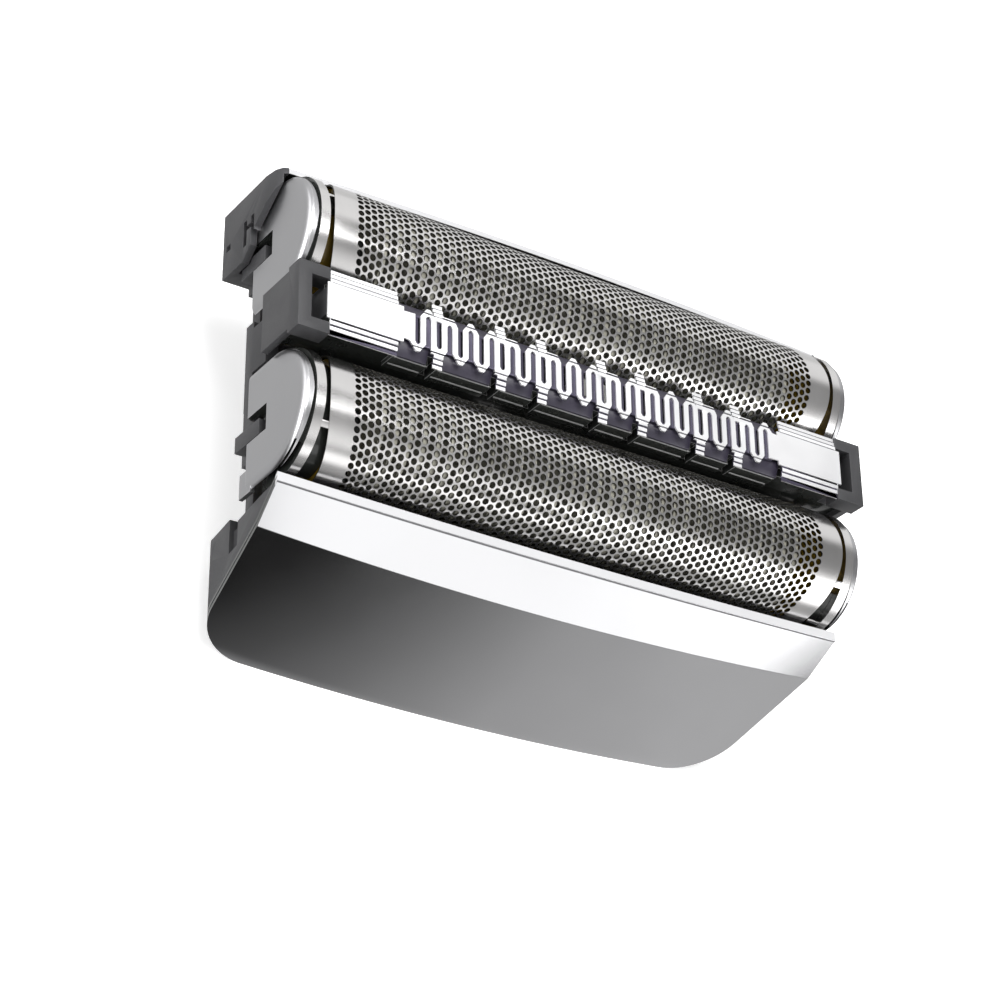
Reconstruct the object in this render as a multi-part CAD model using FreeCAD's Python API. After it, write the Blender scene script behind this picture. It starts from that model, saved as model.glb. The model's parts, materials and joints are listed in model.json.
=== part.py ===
"""Shaver foil head: two floating foils with a trimmer between them, on a plastic cassette.

Sizes are in millimetres. X runs along the foils, -Y is the front with the silver panel, and Z is up,
towards the skin. Inside this script Y is measured from the middle of the trimmer and Z from the lower
edge of the front cover. Each piece is moved along Y once, when it is saved, so that the origin lies
under the middle of the whole head.
"""
import FreeCAD, Part
import math
import os

V = FreeCAD.Vector

# Heights above the lower edge of the front cover
rim_z = 14.1
crown_above_rim = 3.4
apron_z = 2.4
floor_drop = 7.0
floor_t = 1.0
side_wall_drop = 7.45

# Foils
foil_r = 4.5
foil_t = 0.12
foil_half = 20.67
foil_end_bow = 1.0
foil_leg = 2.25
foil_gap = 0.35
hole_l = 2.4
hole_w = 1.1
hole_pitch = 4.4
hole_rows = 5
hole_row_pitch = 1.9
hole_margin = 1.6

# End caps: lengths along X from the end of the foil outwards, then radii and drops
ring_gap = 0.3
ring_w = 0.68
groove_w = 0.45
plate_t = 0.4
plate_step = 0.2
cap_flat_r = 3.65
cap_chamfer = 0.15
groove_depth = 0.4
slit_depth = 1.35
ring_leg = 2.3
plate_leg = 3.0
slot_w = 1.9
slit_extra = 0.15
slot_top_drop = 1.6
foot_w = 1.75
foot_drop = 1.0

# Guide fingers on the cassette frame
finger_w = 1.15
finger_offset = 0.3
finger_inset = 0.2
finger_drop = 5.75
finger_foot_t = 1.0
finger_top_gap = 0.95

# Front cover, from the rim down over the crease to the lower edge
cover_wall = 0.65
rim_gap = 0.15
rim_inset = 0.1
rim_bow = 0.3
crease_drop = 2.93
crease_out = 1.9
crease_inset = 0.25
crease_bow = 0.8
panel_out = 3.7
panel_inset = 1.29
panel_bow = 0.8
corner_r = 4.2

# Back cover
back_wall = 0.45
back_gap = 0.05
back_inset = 0.2
back_bow = 0.5

# Cassette frame
apron_gap = 0.4
apron_foot_out = 0.75
apron_inset = 0.12
apron_wall = 0.9
floor_inset = 0.07
side_gap = 0.1
side_t = 0.5
side_reach = 0.1
side_steps = ((0.0, 0.0), (0.0, 2.8), (1.0, 4.1), (2.0, 4.35))
side_top_w = 1.05
side_slots = ((1.05, 3.05, 2.85, 3.3), (-0.1, 3.05, 3.85, 4.3), (2.2, 2.55, 3.1, 4.0), (1.95, 2.45, 0.4, 1.05))
side_foot_h = 1.4
side_corner = 1.6
link_out = 0.33
link_in = 0.45
link_w = 2.0
link_drop = 1.0
root_gap = 0.13
lug_inset = 0.5
lug_front = 5.3
lug_back = 2.2
lug_t = 1.0
lug_lift = 0.05
lug_post_drop = 2.9
window_half = 9.0
window_w = 6.4
latch_w = 1.3
latch_h = 1.75
latch_drop = 6.6
latch_t = 1.45
catch_in = 0.2
catch_w = 0.7
catch_h = 0.75

# Drive collar under the frame
collar_half = 16.0
collar_gap = 0.2
collar_wall = 1.0
collar_corner = 2.5

# Amber foil frames
rail_t = 0.6
rail_drop = 4.2
rail_h = 2.3
bulkhead_t = 1.77
seat_inset = 0.1
core_r = 3.3
seat_gap = 0.03
tie_inset = 2.2
tie_w = 1.2
tie_t = 0.5
leg_t = 0.6
leg_w = 1.4
leg_y = 2.2
hook_out = 0.45
hook_h = 0.9
window_gap = 0.15
catch_gap = 0.03
float_travel = 0.9

# Cutter blocks
blade_gap = 0.04
blade_t = 0.3
blade_margin = 1.25
blade_count = 6
blade_tongue = 0.7
blade_tongue_w = 5.6
cutter_end_gap = 0.1
cutter_w = 6.8
cutter_drop = 1.4
cutter_h = 2.2
socket_half = 3.2
socket_w = 6.0
socket_h = 2.2
socket_hole = 4.4
socket_depth = 4.15
cutter_stroke = 1.2

# Trimmer comb
comb_t = 0.12
comb_overhang = 0.08
comb_edge = 1.32
tooth_pitch = 1.638
slot_count = 36
comb_slot_w = 0.5
notch_y = 1.0
tip_y = 1.68
tip_half = 0.1
slot_end_y = 1.22
slot_flat_y = 1.08
flat_cap_y = 1.47
slot_taper = 0.22
solid_gap = 0.82
step_inset = 0.35
step_end_inset = 0.25
step_rise = 0.09
step_run = 0.36
step_t = 0.25
tab_w = 0.64
tab_teeth = (1, 4, 6, 9, 11, 14, 16)

# Trimmer blade, bed, carrier and slider
blade_plate_t = 0.2
blade_plate_w = 2.2
blade_plate_margin = 0.57
running_gap = 0.03
bed_t = 0.55
bed_w = 2.5
tab_clearance = 0.25
carrier_w = 3.4
block_gap = 0.2
carrier_drop = 0.5
carrier_h = 1.5
carrier_inset = 0.4
pad_gap = 0.1
bracket_gap = 0.1
bracket_wall = 0.95
bracket_skirt_t = 0.5
bracket_skirt_drop = 1.5
bracket_rise = 1.9
bracket_inner_w = 3.2
bracket_drop = 0.1
trimmer_travel = 0.9
trimmer_stroke = 0.8
post_half = 1.5
post_w = 1.4
slider_half = 2.8
slider_w = 3.4
slider_drop = 5.1
slider_h = 3.4
slider_slot_half = 1.8
slider_slot_w = 2.2
slider_slot_depth = 2.6
trimmer_leg_x = 17.6
trimmer_leg_w = 1.6
trimmer_leg_t = 0.8

# Leaf springs
spring_t = 0.2
spring_w = 1.1
spring_half = 3.4
spring_foot = 1.0
spring_crest = 0.8
pedestal_x = 13.0
pedestal_half = 1.7
pedestal_w = 2.2
pedestal_gap = 2.0

# Places worked out from the sizes above
crown_z = rim_z + crown_above_rim
axis_z = crown_z - foil_r
foil_inner_r = foil_r - foil_t
axis_y = carrier_w / 2 + foil_gap + foil_r
rim_y = axis_y + foil_r + rim_gap
back_y = axis_y + foil_r + back_gap
ring_x = foil_half + ring_gap
groove_x = ring_x + ring_w
plate_x = groove_x + groove_w
cap_face_x = plate_x + plate_t
plate_r = foil_r - plate_step
finger_x = groove_x + finger_inset
side_x = cap_face_x + side_gap + side_t
side_low_y = axis_y - side_reach
rim_half = cap_face_x - rim_inset
crease_half = rim_half - crease_inset
panel_half = crease_half - panel_inset
back_half = cap_face_x - back_inset
floor_half = ring_x - floor_inset
lug_x = cap_face_x - lug_inset
bulkhead_x = ring_x - bulkhead_t
tie_x = bulkhead_x - tie_inset
cutter_half = bulkhead_x - cutter_stroke - cutter_end_gap
blade_pitch = 2 * (cutter_half - blade_margin) / (blade_count - 1)
first_slot = (slot_count - 1) / 4 * tooth_pitch
comb_half = ring_x + comb_overhang
solid_start = first_slot + comb_slot_w / 2 + solid_gap
step_start = solid_start + step_inset
step_end = comb_half - step_end_inset
blade_plate_half = first_slot + blade_plate_margin
pad_start = blade_plate_half + trimmer_stroke + pad_gap
carrier_end = side_x - carrier_inset
apron_y = rim_y + apron_gap
floor_z = rim_z - floor_drop
floor_top = floor_z + floor_t
side_low_z = rim_z - side_wall_drop
finger_low = rim_z - finger_drop
lug_post_top = rim_z - lug_post_drop
rail_low = rim_z - rail_drop
rail_top = rail_low + rail_h
cutter_top = rim_z - cutter_drop
cutter_low = cutter_top - cutter_h
socket_low = cutter_low - socket_h
carrier_low = rim_z - carrier_drop
carrier_step = carrier_low + carrier_h
bracket_low = rim_z - bracket_skirt_drop
bracket_step = rim_z + bracket_rise
slider_low = rim_z - slider_drop
slider_top = slider_low + slider_h
pedestal_top = carrier_low - pedestal_gap
blade_r = foil_inner_r - blade_gap
comb_low = crown_z - comb_t
blade_top = comb_low - running_gap
bed_top = blade_top - blade_plate_t - running_gap
bed_low = bed_top - bed_t
front_reach = rim_y + cover_wall + crease_out + panel_out + panel_bow
back_reach = back_y + back_wall + back_bow
depth_shift = (front_reach - back_reach) / 2
collar_depth = axis_y + window_w / 2 + collar_gap + collar_wall


def clear_half(z, gap):
    """Half width that stays clear of both foils for a trimmer piece whose lowest point is at z."""
    height = max(z - trimmer_travel - axis_z, 0.0)
    return axis_y - math.sqrt((foil_r + gap) ** 2 - height ** 2)


bracket_w = 2 * clear_half(bracket_step, bracket_gap)
block_w = 2 * clear_half(carrier_step, block_gap)


def box(x0, x1, y0, y1, z0, z1):
    """A box given by its limits."""
    return Part.makeBox(x1 - x0, y1 - y0, z1 - z0, V(x0, y0, z0))


def fuse_all(shapes):
    """One clean solid from pieces that touch or overlap."""
    return shapes[0].multiFuse(shapes[1:]).removeSplitter()


def mirrored_x(shape):
    return shape.mirror(V(0, 0, 0), V(1, 0, 0))


def mirrored_y(shape):
    return shape.mirror(V(0, 0, 0), V(0, 1, 0))


def prism(points, sweep):
    """Straight-sided solid: a closed outline of points moved along sweep."""
    outline = Part.makePolygon(points + [points[0]])
    return Part.Face(outline).extrude(sweep)


def prism_along_x(outline, x0, x1):
    """An outline of (y, z) pairs swept from x0 to x1."""
    return prism([V(x0, y, z) for y, z in outline], V(x1 - x0, 0, 0))


def prism_along_z(outline, z0, z1):
    """An outline of (x, y) pairs swept from z0 to z1."""
    return prism([V(x, y, z0) for x, y in outline], V(0, 0, z1 - z0))


def wall_section(half, y_out, bow, wall, z):
    """Closed outline of a bowed wall at one height: outer arc, inner arc and two short ends."""
    y_in = y_out + wall
    outer = Part.Arc(V(-half, y_out, z), V(0, y_out - bow, z), V(half, y_out, z)).toShape()
    inner = Part.Arc(V(half, y_in, z), V(0, y_in - bow, z), V(-half, y_in, z)).toShape()
    right = Part.makeLine(V(half, y_out, z), V(half, y_in, z))
    left = Part.makeLine(V(-half, y_in, z), V(-half, y_out, z))
    return Part.Wire([outer, right, inner, left])


def filled_section(half, y_out, bow, y_in, z):
    """Closed outline between a bowed front and a straight back at one height."""
    outer = Part.Arc(V(-half, y_out, z), V(0, y_out - bow, z), V(half, y_out, z)).toShape()
    corners = [V(half, y_out, z), V(half, y_in, z), V(-half, y_in, z), V(-half, y_out, z)]
    return Part.Wire([outer] + Part.makePolygon(corners).Edges)


def front_levels():
    """Height, half length, outer Y at the ends and bow of the front cover at its three levels."""
    y_rim = -(rim_y + cover_wall)
    y_crease = y_rim - crease_out
    return [
        (rim_z, rim_half, y_rim, rim_bow),
        (rim_z - crease_drop, crease_half, y_crease, crease_bow),
        (0.0, panel_half, y_crease - panel_out, panel_bow),
    ]


def lower_corner_cutter():
    """What rounds the right lower corner of the panel, seen from the front."""
    lean = math.atan2(crease_half - panel_half, rim_z - crease_drop)
    reach = corner_r * (1 - math.sin(lean)) / math.cos(lean)
    centre_x = panel_half - reach
    side_x_at = panel_half + reach * math.sin(lean)
    side_z = reach * math.cos(lean)
    y_far = -2 * front_reach
    outline = [
        V(centre_x, y_far, -1.0),
        V(side_x_at + 2.0, y_far, -1.0),
        V(side_x_at + 2.0, y_far, side_z),
        V(side_x_at, y_far, side_z),
        V(centre_x, y_far, corner_r),
    ]
    block = prism(outline, V(0, 2 * front_reach, 0))
    barrel = Part.makeCylinder(corner_r, 2 * front_reach, V(centre_x, y_far, corner_r), V(0, 1, 0))
    return block.cut(barrel)


def front_cover():
    """Silver panel: a steep upper facet, a long lower one and two well rounded lower corners."""
    sections = [wall_section(half, y, bow, cover_wall, z) for z, half, y, bow in front_levels()]
    shell = Part.makeLoft(sections, True, True)
    corner = lower_corner_cutter()
    return shell.cut(corner).cut(mirrored_x(corner))


def back_cover():
    """Silver rim wall at the back, slightly bowed in plan."""
    levels = (rim_z, side_low_z)
    sections = [wall_section(back_half, -(back_y + back_wall), back_bow, back_wall, z) for z in levels]
    return mirrored_y(Part.makeLoft(sections, True, True))


def apron_fill(inset, wall):
    """The space behind the front cover, held back from its inner face by wall."""
    sections = []
    for z, half, y, bow in front_levels():
        sections.append(filled_section(half - inset, y + cover_wall + wall, bow, -axis_y, z))
    return Part.makeLoft(sections, True, True)


def apron():
    """Skirt behind the front cover, open below, whose ends are the grey side walls."""
    far = 2 * front_reach
    latch_top = rim_z - latch_drop
    latch_low = latch_top - latch_t
    keep = box(-side_x, side_x, -far, -apron_y, latch_low, rim_z - apron_inset)
    keep = keep.fuse(box(-side_x, side_x, -far, -apron_y + apron_foot_out, apron_z, latch_low))
    skirt = apron_fill(apron_inset, 0).common(keep)
    inner_y = -(apron_y + apron_wall)
    top = rim_z - crease_drop
    hollow = box(-side_x, side_x, -far, inner_y, apron_z - 1.0, top)
    skirt = skirt.cut(apron_fill(apron_inset + apron_wall, apron_wall).common(hollow))
    below = box(-floor_half + apron_wall, floor_half - apron_wall, -far, far, 0, floor_z)
    skirt = skirt.cut(below.common(box(-side_x, side_x, inner_y, far, 0, floor_z)))
    latch = box(-side_x, -rim_half + latch_w, -apron_y - latch_h, -apron_y + 0.1, latch_low, latch_top)
    catch_y = -apron_y - catch_in
    catch = box(-side_x, -rim_half + latch_w, catch_y - catch_w, catch_y, 0, apron_z + catch_h)
    for notch in (latch, catch, lower_corner_cutter()):
        skirt = skirt.cut(notch).cut(mirrored_x(notch))
    return skirt


def back_side_wall():
    """Grey side wall at the back of the left end: plate, corner post, and a foot under the back end cap."""
    y_out = back_y + back_wall
    outline = [(y_out, rim_z), (y_out, side_low_z)]
    outline += [(side_low_y + y, side_low_z + z) for y, z in side_steps]
    outline.append((y_out - side_top_w, rim_z))
    plate = prism_along_x(outline, -side_x, -side_x + side_t)
    post = box(-side_x, -back_half, back_y, y_out, side_low_z, rim_z)
    foot = box(-side_x, -floor_half + link_in, side_low_y, back_y - root_gap, side_low_z, side_low_z + side_foot_h)
    wall = fuse_all([plate, post, foot])
    for y0, y1, z0, z1 in side_slots:
        slot = box(-side_x - 0.1, -side_x + side_t, y0, y1, z0, z1)
        slot.translate(V(0, side_low_y, side_low_z))
        wall = wall.cut(slot)
    rounded = [(-side_x - 0.1, rim_z - side_corner), (-side_x, rim_z - side_corner),
               (-side_x + 0.1 * side_corner, rim_z - 0.4 * side_corner),
               (-side_x + 0.28 * side_corner, rim_z - 0.1 * side_corner),
               (-side_x + 0.5 * side_corner, rim_z), (-side_x - 0.1, rim_z)]
    corner = prism([V(x, 0, z) for x, z in rounded], V(0, 2 * back_reach, 0))
    return wall.cut(corner)


def guide_finger(y_axis):
    """Finger at the left end that stands in the slot of an end cap, with its foot on the floor."""
    y0 = y_axis - finger_w / 2 - finger_offset
    finger_top = rim_z - slot_top_drop - finger_top_gap
    finger = box(-cap_face_x, -finger_x, y0, y0 + finger_w, finger_low, finger_top)
    foot = box(-cap_face_x, -ring_x - root_gap, y0, y0 + finger_w, finger_low, finger_low + finger_foot_t)
    half_w = link_w / 2
    link = box(-ring_x - link_out, -floor_half + link_in, y_axis - half_w, y_axis + half_w, floor_z,
               rail_low - link_drop)
    return [finger, foot, link]


def end_lug():
    """Lug at the left end: it carries the end of the frame under the trimmer's bracket."""
    base = box(-ring_x - link_out, -floor_half + link_in, -lug_front, lug_back, floor_z, rail_low - link_drop)
    low = finger_low + lug_lift
    top = low + lug_t
    bar = box(-lug_x, -ring_x - root_gap, -lug_front, lug_back, low, top)
    corner = prism([V(-side_x, -lug_front, low), V(-side_x, -lug_front + lug_t, low), V(-side_x, -lug_front, top)],
                   V(side_x - floor_half, 0, 0))
    post = box(-lug_x, -ring_x - root_gap, -carrier_w / 2, carrier_w / 2, low, lug_post_top)
    return [base, bar.cut(corner), post]


def floor_plate():
    """Floor between the covers, with windows for the drive, the snap legs and the trimmer."""
    inner = Part.Arc(V(back_half, back_y, 0), V(0, back_y + back_bow, 0), V(-back_half, back_y, 0)).toShape()
    front = -(apron_y + apron_wall / 2)
    corners = [V(-back_half, back_y, 0), V(-back_half, front, 0), V(back_half, front, 0), V(back_half, back_y, 0)]
    outline = Part.Wire([inner] + Part.makePolygon(corners).Edges)
    plate = Part.Face(outline).extrude(V(0, 0, floor_t))
    plate.translate(V(0, 0, floor_z))
    far = 2 * front_reach
    plate = plate.common(box(-floor_half, floor_half, -far, far, 0, rim_z))
    windows = []
    for y in (-axis_y, axis_y):
        windows.append(box(-window_half, window_half, y - window_w / 2, y + window_w / 2, 0, rim_z))
        for side in (-1, 1):
            y_leg = y + side * leg_y
            half_w = leg_w / 2 + window_gap
            for x0 in (-(bulkhead_x + leg_t + window_gap), bulkhead_x - window_gap):
                x1 = x0 + leg_t + 2 * window_gap
                windows.append(box(x0, x1, y_leg - half_w, y_leg + half_w, 0, rim_z))
    slider_reach = slider_half + trimmer_stroke + 2 * window_gap
    windows.append(box(-slider_reach, slider_reach, -slider_w / 2 - window_gap, slider_w / 2 + window_gap, 0, rim_z))
    half_w = trimmer_leg_w / 2 + window_gap
    for x0 in (-(trimmer_leg_x + trimmer_leg_t + window_gap), trimmer_leg_x - window_gap):
        x1 = x0 + trimmer_leg_t + 2 * window_gap
        windows.append(box(x0, x1, -half_w, half_w, 0, rim_z))
    for window in windows:
        plate = plate.cut(window)
    return plate


def cassette_frame():
    """Dark plastic moulding that carries everything."""
    ends = [back_side_wall()]
    ends += guide_finger(-axis_y)
    ends += guide_finger(axis_y)
    ends += end_lug()
    left = fuse_all(ends)
    pedestal = box(-pedestal_x - pedestal_half, -pedestal_x + pedestal_half, -pedestal_w / 2, pedestal_w / 2,
                   floor_z, pedestal_top)
    return fuse_all([floor_plate(), apron(), left, mirrored_x(left), pedestal, mirrored_x(pedestal)])


def drive_collar():
    """Collar that plugs into the shaver; the drive pins come up through it."""
    outer = box(-collar_half, collar_half, -collar_depth, collar_depth, 0, floor_z)
    outer = outer.makeFillet(collar_corner, [e for e in outer.Edges if abs(e.tangentAt(e.FirstParameter).z) > 0.9])
    half = collar_half - collar_wall
    depth = collar_depth - collar_wall
    inner = box(-half, half, -depth, depth, -1.0, floor_z + 1.0)
    radius = collar_corner - collar_wall
    inner = inner.makeFillet(radius, [e for e in inner.Edges if abs(e.tangentAt(e.FirstParameter).z) > 0.9])
    return outer.cut(inner)


def foil_plan():
    """Plan outline of a foil sheet: its ends bulge out along the crown."""
    end = foil_half
    side = foil_half - foil_end_bow
    y = foil_r + 0.01
    right = Part.Arc(V(side, -y, 0), V(end, 0, 0), V(side, y, 0)).toShape()
    left = Part.Arc(V(-side, y, 0), V(-end, 0, 0), V(-side, -y, 0)).toShape()
    back = Part.makeLine(V(side, y, 0), V(-side, y, 0))
    front = Part.makeLine(V(-side, -y, 0), V(side, -y, 0))
    return Part.Face(Part.Wire([right, back, left, front])).extrude(V(0, 0, crown_z + 1.0))


def arch(radius, half, leg):
    """Solid arch along X: a half disc on straight legs."""
    low = axis_z - leg
    start = V(-half, -radius, axis_z)
    end = V(-half, radius, axis_z)
    top = Part.Arc(start, V(-half, 0, axis_z + radius), end).toShape()
    sides = Part.makePolygon([end, V(-half, radius, low), V(-half, -radius, low), start]).Edges
    return Part.Face(Part.Wire([top] + sides)).extrude(V(2 * half, 0, 0))


def foil_holes():
    """Staggered rows of openings over the crown of a foil, as one compound of pins."""
    step = hole_row_pitch / foil_r
    reach = foil_half - foil_end_bow - hole_margin - hole_l / 2
    pins = []
    for row in range(hole_rows):
        shift = hole_pitch / 2 if row % 2 else 0.0
        turn = math.degrees((row - (hole_rows - 1) / 2) * step)
        count = int((reach - shift) / hole_pitch)
        for column in range(-count, count + 1 + row % 2):
            x = column * hole_pitch - shift
            pin = box(x - hole_l / 2, x + hole_l / 2, -hole_w / 2, hole_w / 2, foil_r - 1.0, foil_r + 1.0)
            pin.rotate(V(0, 0, 0), V(1, 0, 0), turn)
            pin.translate(V(0, 0, axis_z))
            pins.append(pin)
    return Part.makeCompound(pins)


def foil_sheet():
    """Perforated steel foil bent over the cutter, with straight legs at its sides."""
    shell = arch(foil_r, foil_half + 1.0, foil_leg).cut(arch(foil_inner_r, foil_half + 2.0, foil_leg + 1.0))
    return shell.common(foil_plan()).cut(foil_holes())


def cap_profile():
    """Half section of an end cap through its axis: ring, groove, and a plate with a domed rim."""
    waist = foil_r - groove_depth
    dome_r = plate_r - cap_flat_r
    points = [
        (ring_x, 0),
        (ring_x, foil_r - cap_chamfer),
        (ring_x + cap_chamfer, foil_r),
        (groove_x, foil_r),
        (groove_x, waist),
        (plate_x, waist),
        (plate_x, plate_r),
        (plate_x + 0.65 * plate_t, plate_r - 0.3 * dome_r),
        (cap_face_x, cap_flat_r),
        (cap_face_x, 0),
    ]
    return [V(x, r, 0) for x, r in points]


def cap_body():
    """Domed plate, groove and ring: the profile turned over the crown and drawn down as legs."""
    points = cap_profile()
    half = Part.Face(Part.makePolygon(points + [points[0]]))
    dome = half.revolve(V(0, 0, 0), V(1, 0, 0), 180)
    leg = half.extrude(V(0, 0, -plate_leg))
    body = fuse_all([dome, leg, mirrored_y(leg)])
    body.translate(V(0, 0, axis_z))
    short = box(ring_x - 1.0, plate_x, -foil_r - 1, foil_r + 1, axis_z - plate_leg - 1.0, axis_z - ring_leg)
    return body.cut(short)


def side_slit():
    """Deep slit between plate and ring on the outer flank of an end cap."""
    y_in = foil_r - slit_depth
    return box(groove_x, plate_x + slit_extra, -foil_r - 1.0, -y_in, axis_z - plate_leg - 1.0, crown_z)


def end_cap():
    """Right end cap of the front unit, built about the foil's axis with its outer side towards -Y."""
    slit = side_slit()
    body = cap_body().cut(slit).cut(mirrored_y(slit))
    slot = box(groove_x + 0.05, cap_face_x + 1.0, -slot_w / 2, slot_w / 2, 0, rim_z - slot_top_drop)
    low = axis_z - plate_leg
    foot = box(plate_x, cap_face_x - 0.1, -foil_r, -foil_r + foot_w, low - foot_drop, low + 0.5)
    return body.cut(slot).fuse(foot).removeSplitter()


def snap_leg(x, t, w, top):
    """Leg at the right end that hangs through the floor, with a barb that catches under it at rest."""
    catch_z = floor_z - catch_gap
    outline = [(x, top), (x + t, top), (x + t, catch_z - hook_h), (x, catch_z - hook_h),
               (x - hook_out, catch_z - 0.35 * hook_h), (x - hook_out, catch_z), (x, catch_z)]
    return prism([V(px, -w / 2, pz) for px, pz in outline], V(0, w, 0))


def foil_frame():
    """Amber frame inside a foil: two rails, two round-topped bulkheads, ties and four snap legs."""
    y_out = foil_inner_r - seat_gap
    seat = arch(y_out, foil_half - foil_end_bow - seat_inset, axis_z - rail_low)
    chamfer = 0.6 * core_r
    core = [(-core_r, rail_low), (-core_r, axis_z + core_r - chamfer), (-core_r + chamfer, axis_z + core_r),
            (core_r - chamfer, axis_z + core_r), (core_r, axis_z + core_r - chamfer), (core_r, rail_low)]
    bulk = seat.fuse(prism_along_x(core, -ring_x, ring_x))
    bulk = bulk.cut(box(-bulkhead_x, bulkhead_x, -foil_r, foil_r, 0, crown_z))
    pieces = [bulk]
    for side in (-1, 1):
        y0 = min(side * y_out, side * (y_out - rail_t))
        pieces.append(box(-ring_x, ring_x, y0, y0 + rail_t, rail_low, rail_top))
    for x in (-tie_x, tie_x):
        pieces.append(box(x - tie_w / 2, x + tie_w / 2, -y_out, y_out, rail_low, rail_low + tie_t))
    for side in (-1, 1):
        foot = snap_leg(bulkhead_x, leg_t, leg_w, rail_low + 0.2)
        foot.translate(V(0, side * leg_y, 0))
        pieces += [foot, mirrored_x(foot)]
    return fuse_all(pieces)


def blade_places():
    first = -(blade_count - 1) / 2 * blade_pitch
    return [first + k * blade_pitch for k in range(blade_count)]


def blade_blank():
    """One lamella: a half disc that rides under the foil, with a tongue into its carrier."""
    edge = Part.Arc(V(-blade_t / 2, -blade_r, axis_z), V(-blade_t / 2, 0, axis_z + blade_r),
                    V(-blade_t / 2, blade_r, axis_z)).toShape()
    chord = Part.makeLine(V(-blade_t / 2, blade_r, axis_z), V(-blade_t / 2, -blade_r, axis_z))
    disc = Part.Face(Part.Wire([edge, chord])).extrude(V(blade_t, 0, 0))
    tongue = box(-blade_t / 2, blade_t / 2, -blade_tongue_w / 2, blade_tongue_w / 2, cutter_top - blade_tongue, axis_z)
    return disc.fuse(tongue).removeSplitter()


def cutter_blades():
    """All lamellae of one cutter block."""
    blank = blade_blank()
    blades = []
    for x in blade_places():
        blade = blank.copy()
        blade.translate(V(x, 0, 0))
        blades.append(blade)
    return Part.makeCompound(blades)


def cutter_carrier():
    """Bar that holds the lamellae, with the socket for the drive pin under its middle."""
    bar = box(-cutter_half, cutter_half, -cutter_w / 2, cutter_w / 2, cutter_low, cutter_top)
    socket = box(-socket_half, socket_half, -socket_w / 2, socket_w / 2, socket_low, cutter_low)
    body = bar.fuse(socket).removeSplitter()
    hole = socket_hole / 2
    body = body.cut(box(-hole, hole, -hole, hole, socket_low - 1.0, socket_low + socket_depth))
    return body.cut(cutter_blades())


def step_outline():
    """Section of the comb's stepped edge on the back side, as (y, z) points."""
    y = comb_edge
    z = crown_z
    outline = [(y - step_t, z), (y, z)]
    for step in range(3):
        z -= step_rise
        outline.append((y, z))
        y += step_run
        outline.append((y, z))
    outline += [(y, z - step_rise), (y - step_t, z - step_rise), (comb_edge - step_t, comb_low)]
    return outline


def comb_steps(x0, x1):
    """Stepped edges on both sides of the comb from x0 to x1."""
    back = prism_along_x(step_outline(), x0, x1)
    return [back, mirrored_y(back)]


def tooth_cap(x, y_side):
    """Pointed closed end of the serpentine at x, towards +Y or -Y."""
    half = (tooth_pitch - comb_slot_w) / 2
    outline = [(x - half, 0), (x - half, notch_y), (x - tip_half, tip_y), (x + tip_half, tip_y),
               (x + half, notch_y), (x + half, 0)]
    return prism_along_z([(px, y_side * py) for px, py in outline], comb_low, crown_z)


def flat_cap(x, y_side, lean):
    """Flat closed end of the serpentine beside a tab; lean moves its shoulder towards the tab."""
    half = (tooth_pitch - comb_slot_w) / 2
    outline = [(x - half, 0), (x - half - lean, flat_cap_y), (x + 0.55 * half, flat_cap_y), (x + half, notch_y),
               (x + half, 0)]
    return prism_along_z([(px, y_side * py) for px, py in outline], comb_low, crown_z)


def comb_slot(k):
    """Slot number k of the comb: open at the back or the front in turn, tapered at its closed end."""
    x = -first_slot + k * tooth_pitch / 2
    half = comb_slot_w / 2
    end = slot_flat_y if k // 2 in tab_teeth else slot_end_y
    open_y = -tip_y - 1.0
    outline = [(x - half, open_y), (x - half, end - slot_taper), (x - tip_half, end), (x + tip_half, end),
               (x + half, end - slot_taper), (x + half, open_y)]
    side = -1 if k % 2 == 0 else 1
    return prism_along_z([(px, side * py) for px, py in outline], comb_low - 0.1, crown_z + 0.1)


def trimmer_comb():
    """Guard comb: flat ends, stepped edges, and a serpentine middle held by side tabs."""
    pieces = [box(-solid_start, solid_start, -notch_y, notch_y, comb_low, crown_z)]
    for side in (-1, 1):
        x0 = min(side * solid_start, side * comb_half)
        x1 = max(side * solid_start, side * comb_half)
        pieces.append(box(x0, x1, -comb_edge, comb_edge, comb_low, crown_z))
        pieces += comb_steps(min(side * step_start, side * step_end), max(side * step_start, side * step_end))
    tab_places = [tooth * tooth_pitch - first_slot for tooth in tab_teeth]
    for tooth in range(slot_count // 2):
        x_low = tooth * tooth_pitch - first_slot
        x_high = x_low + tooth_pitch / 2
        if tooth in tab_teeth:
            pieces.append(flat_cap(x_low, -1, 0))
            pieces.append(flat_cap(x_high, 1, comb_slot_w / 2))
        else:
            pieces.append(tooth_cap(x_low, -1))
            pieces.append(tooth_cap(x_high, 1))
    comb = fuse_all(pieces)
    comb = comb.cut(Part.makeCompound([comb_slot(k) for k in range(slot_count)]))
    tabs = []
    for x in tab_places:
        tabs += comb_steps(x - tab_w / 2, x + tab_w / 2)
    return fuse_all([comb] + tabs)


def gap_boxes(half_gap, z0, z1):
    """Boxes that keep the room of the comb's tabs free on both sides."""
    inner = comb_edge - 0.12
    boxes = []
    for tooth in tab_teeth:
        x = tooth * tooth_pitch - first_slot
        boxes.append(box(x - half_gap, x + half_gap, inner, 3 * inner, z0, z1))
        boxes.append(box(x - half_gap, x + half_gap, -3 * inner, -inner, z0, z1))
    return boxes


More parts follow.
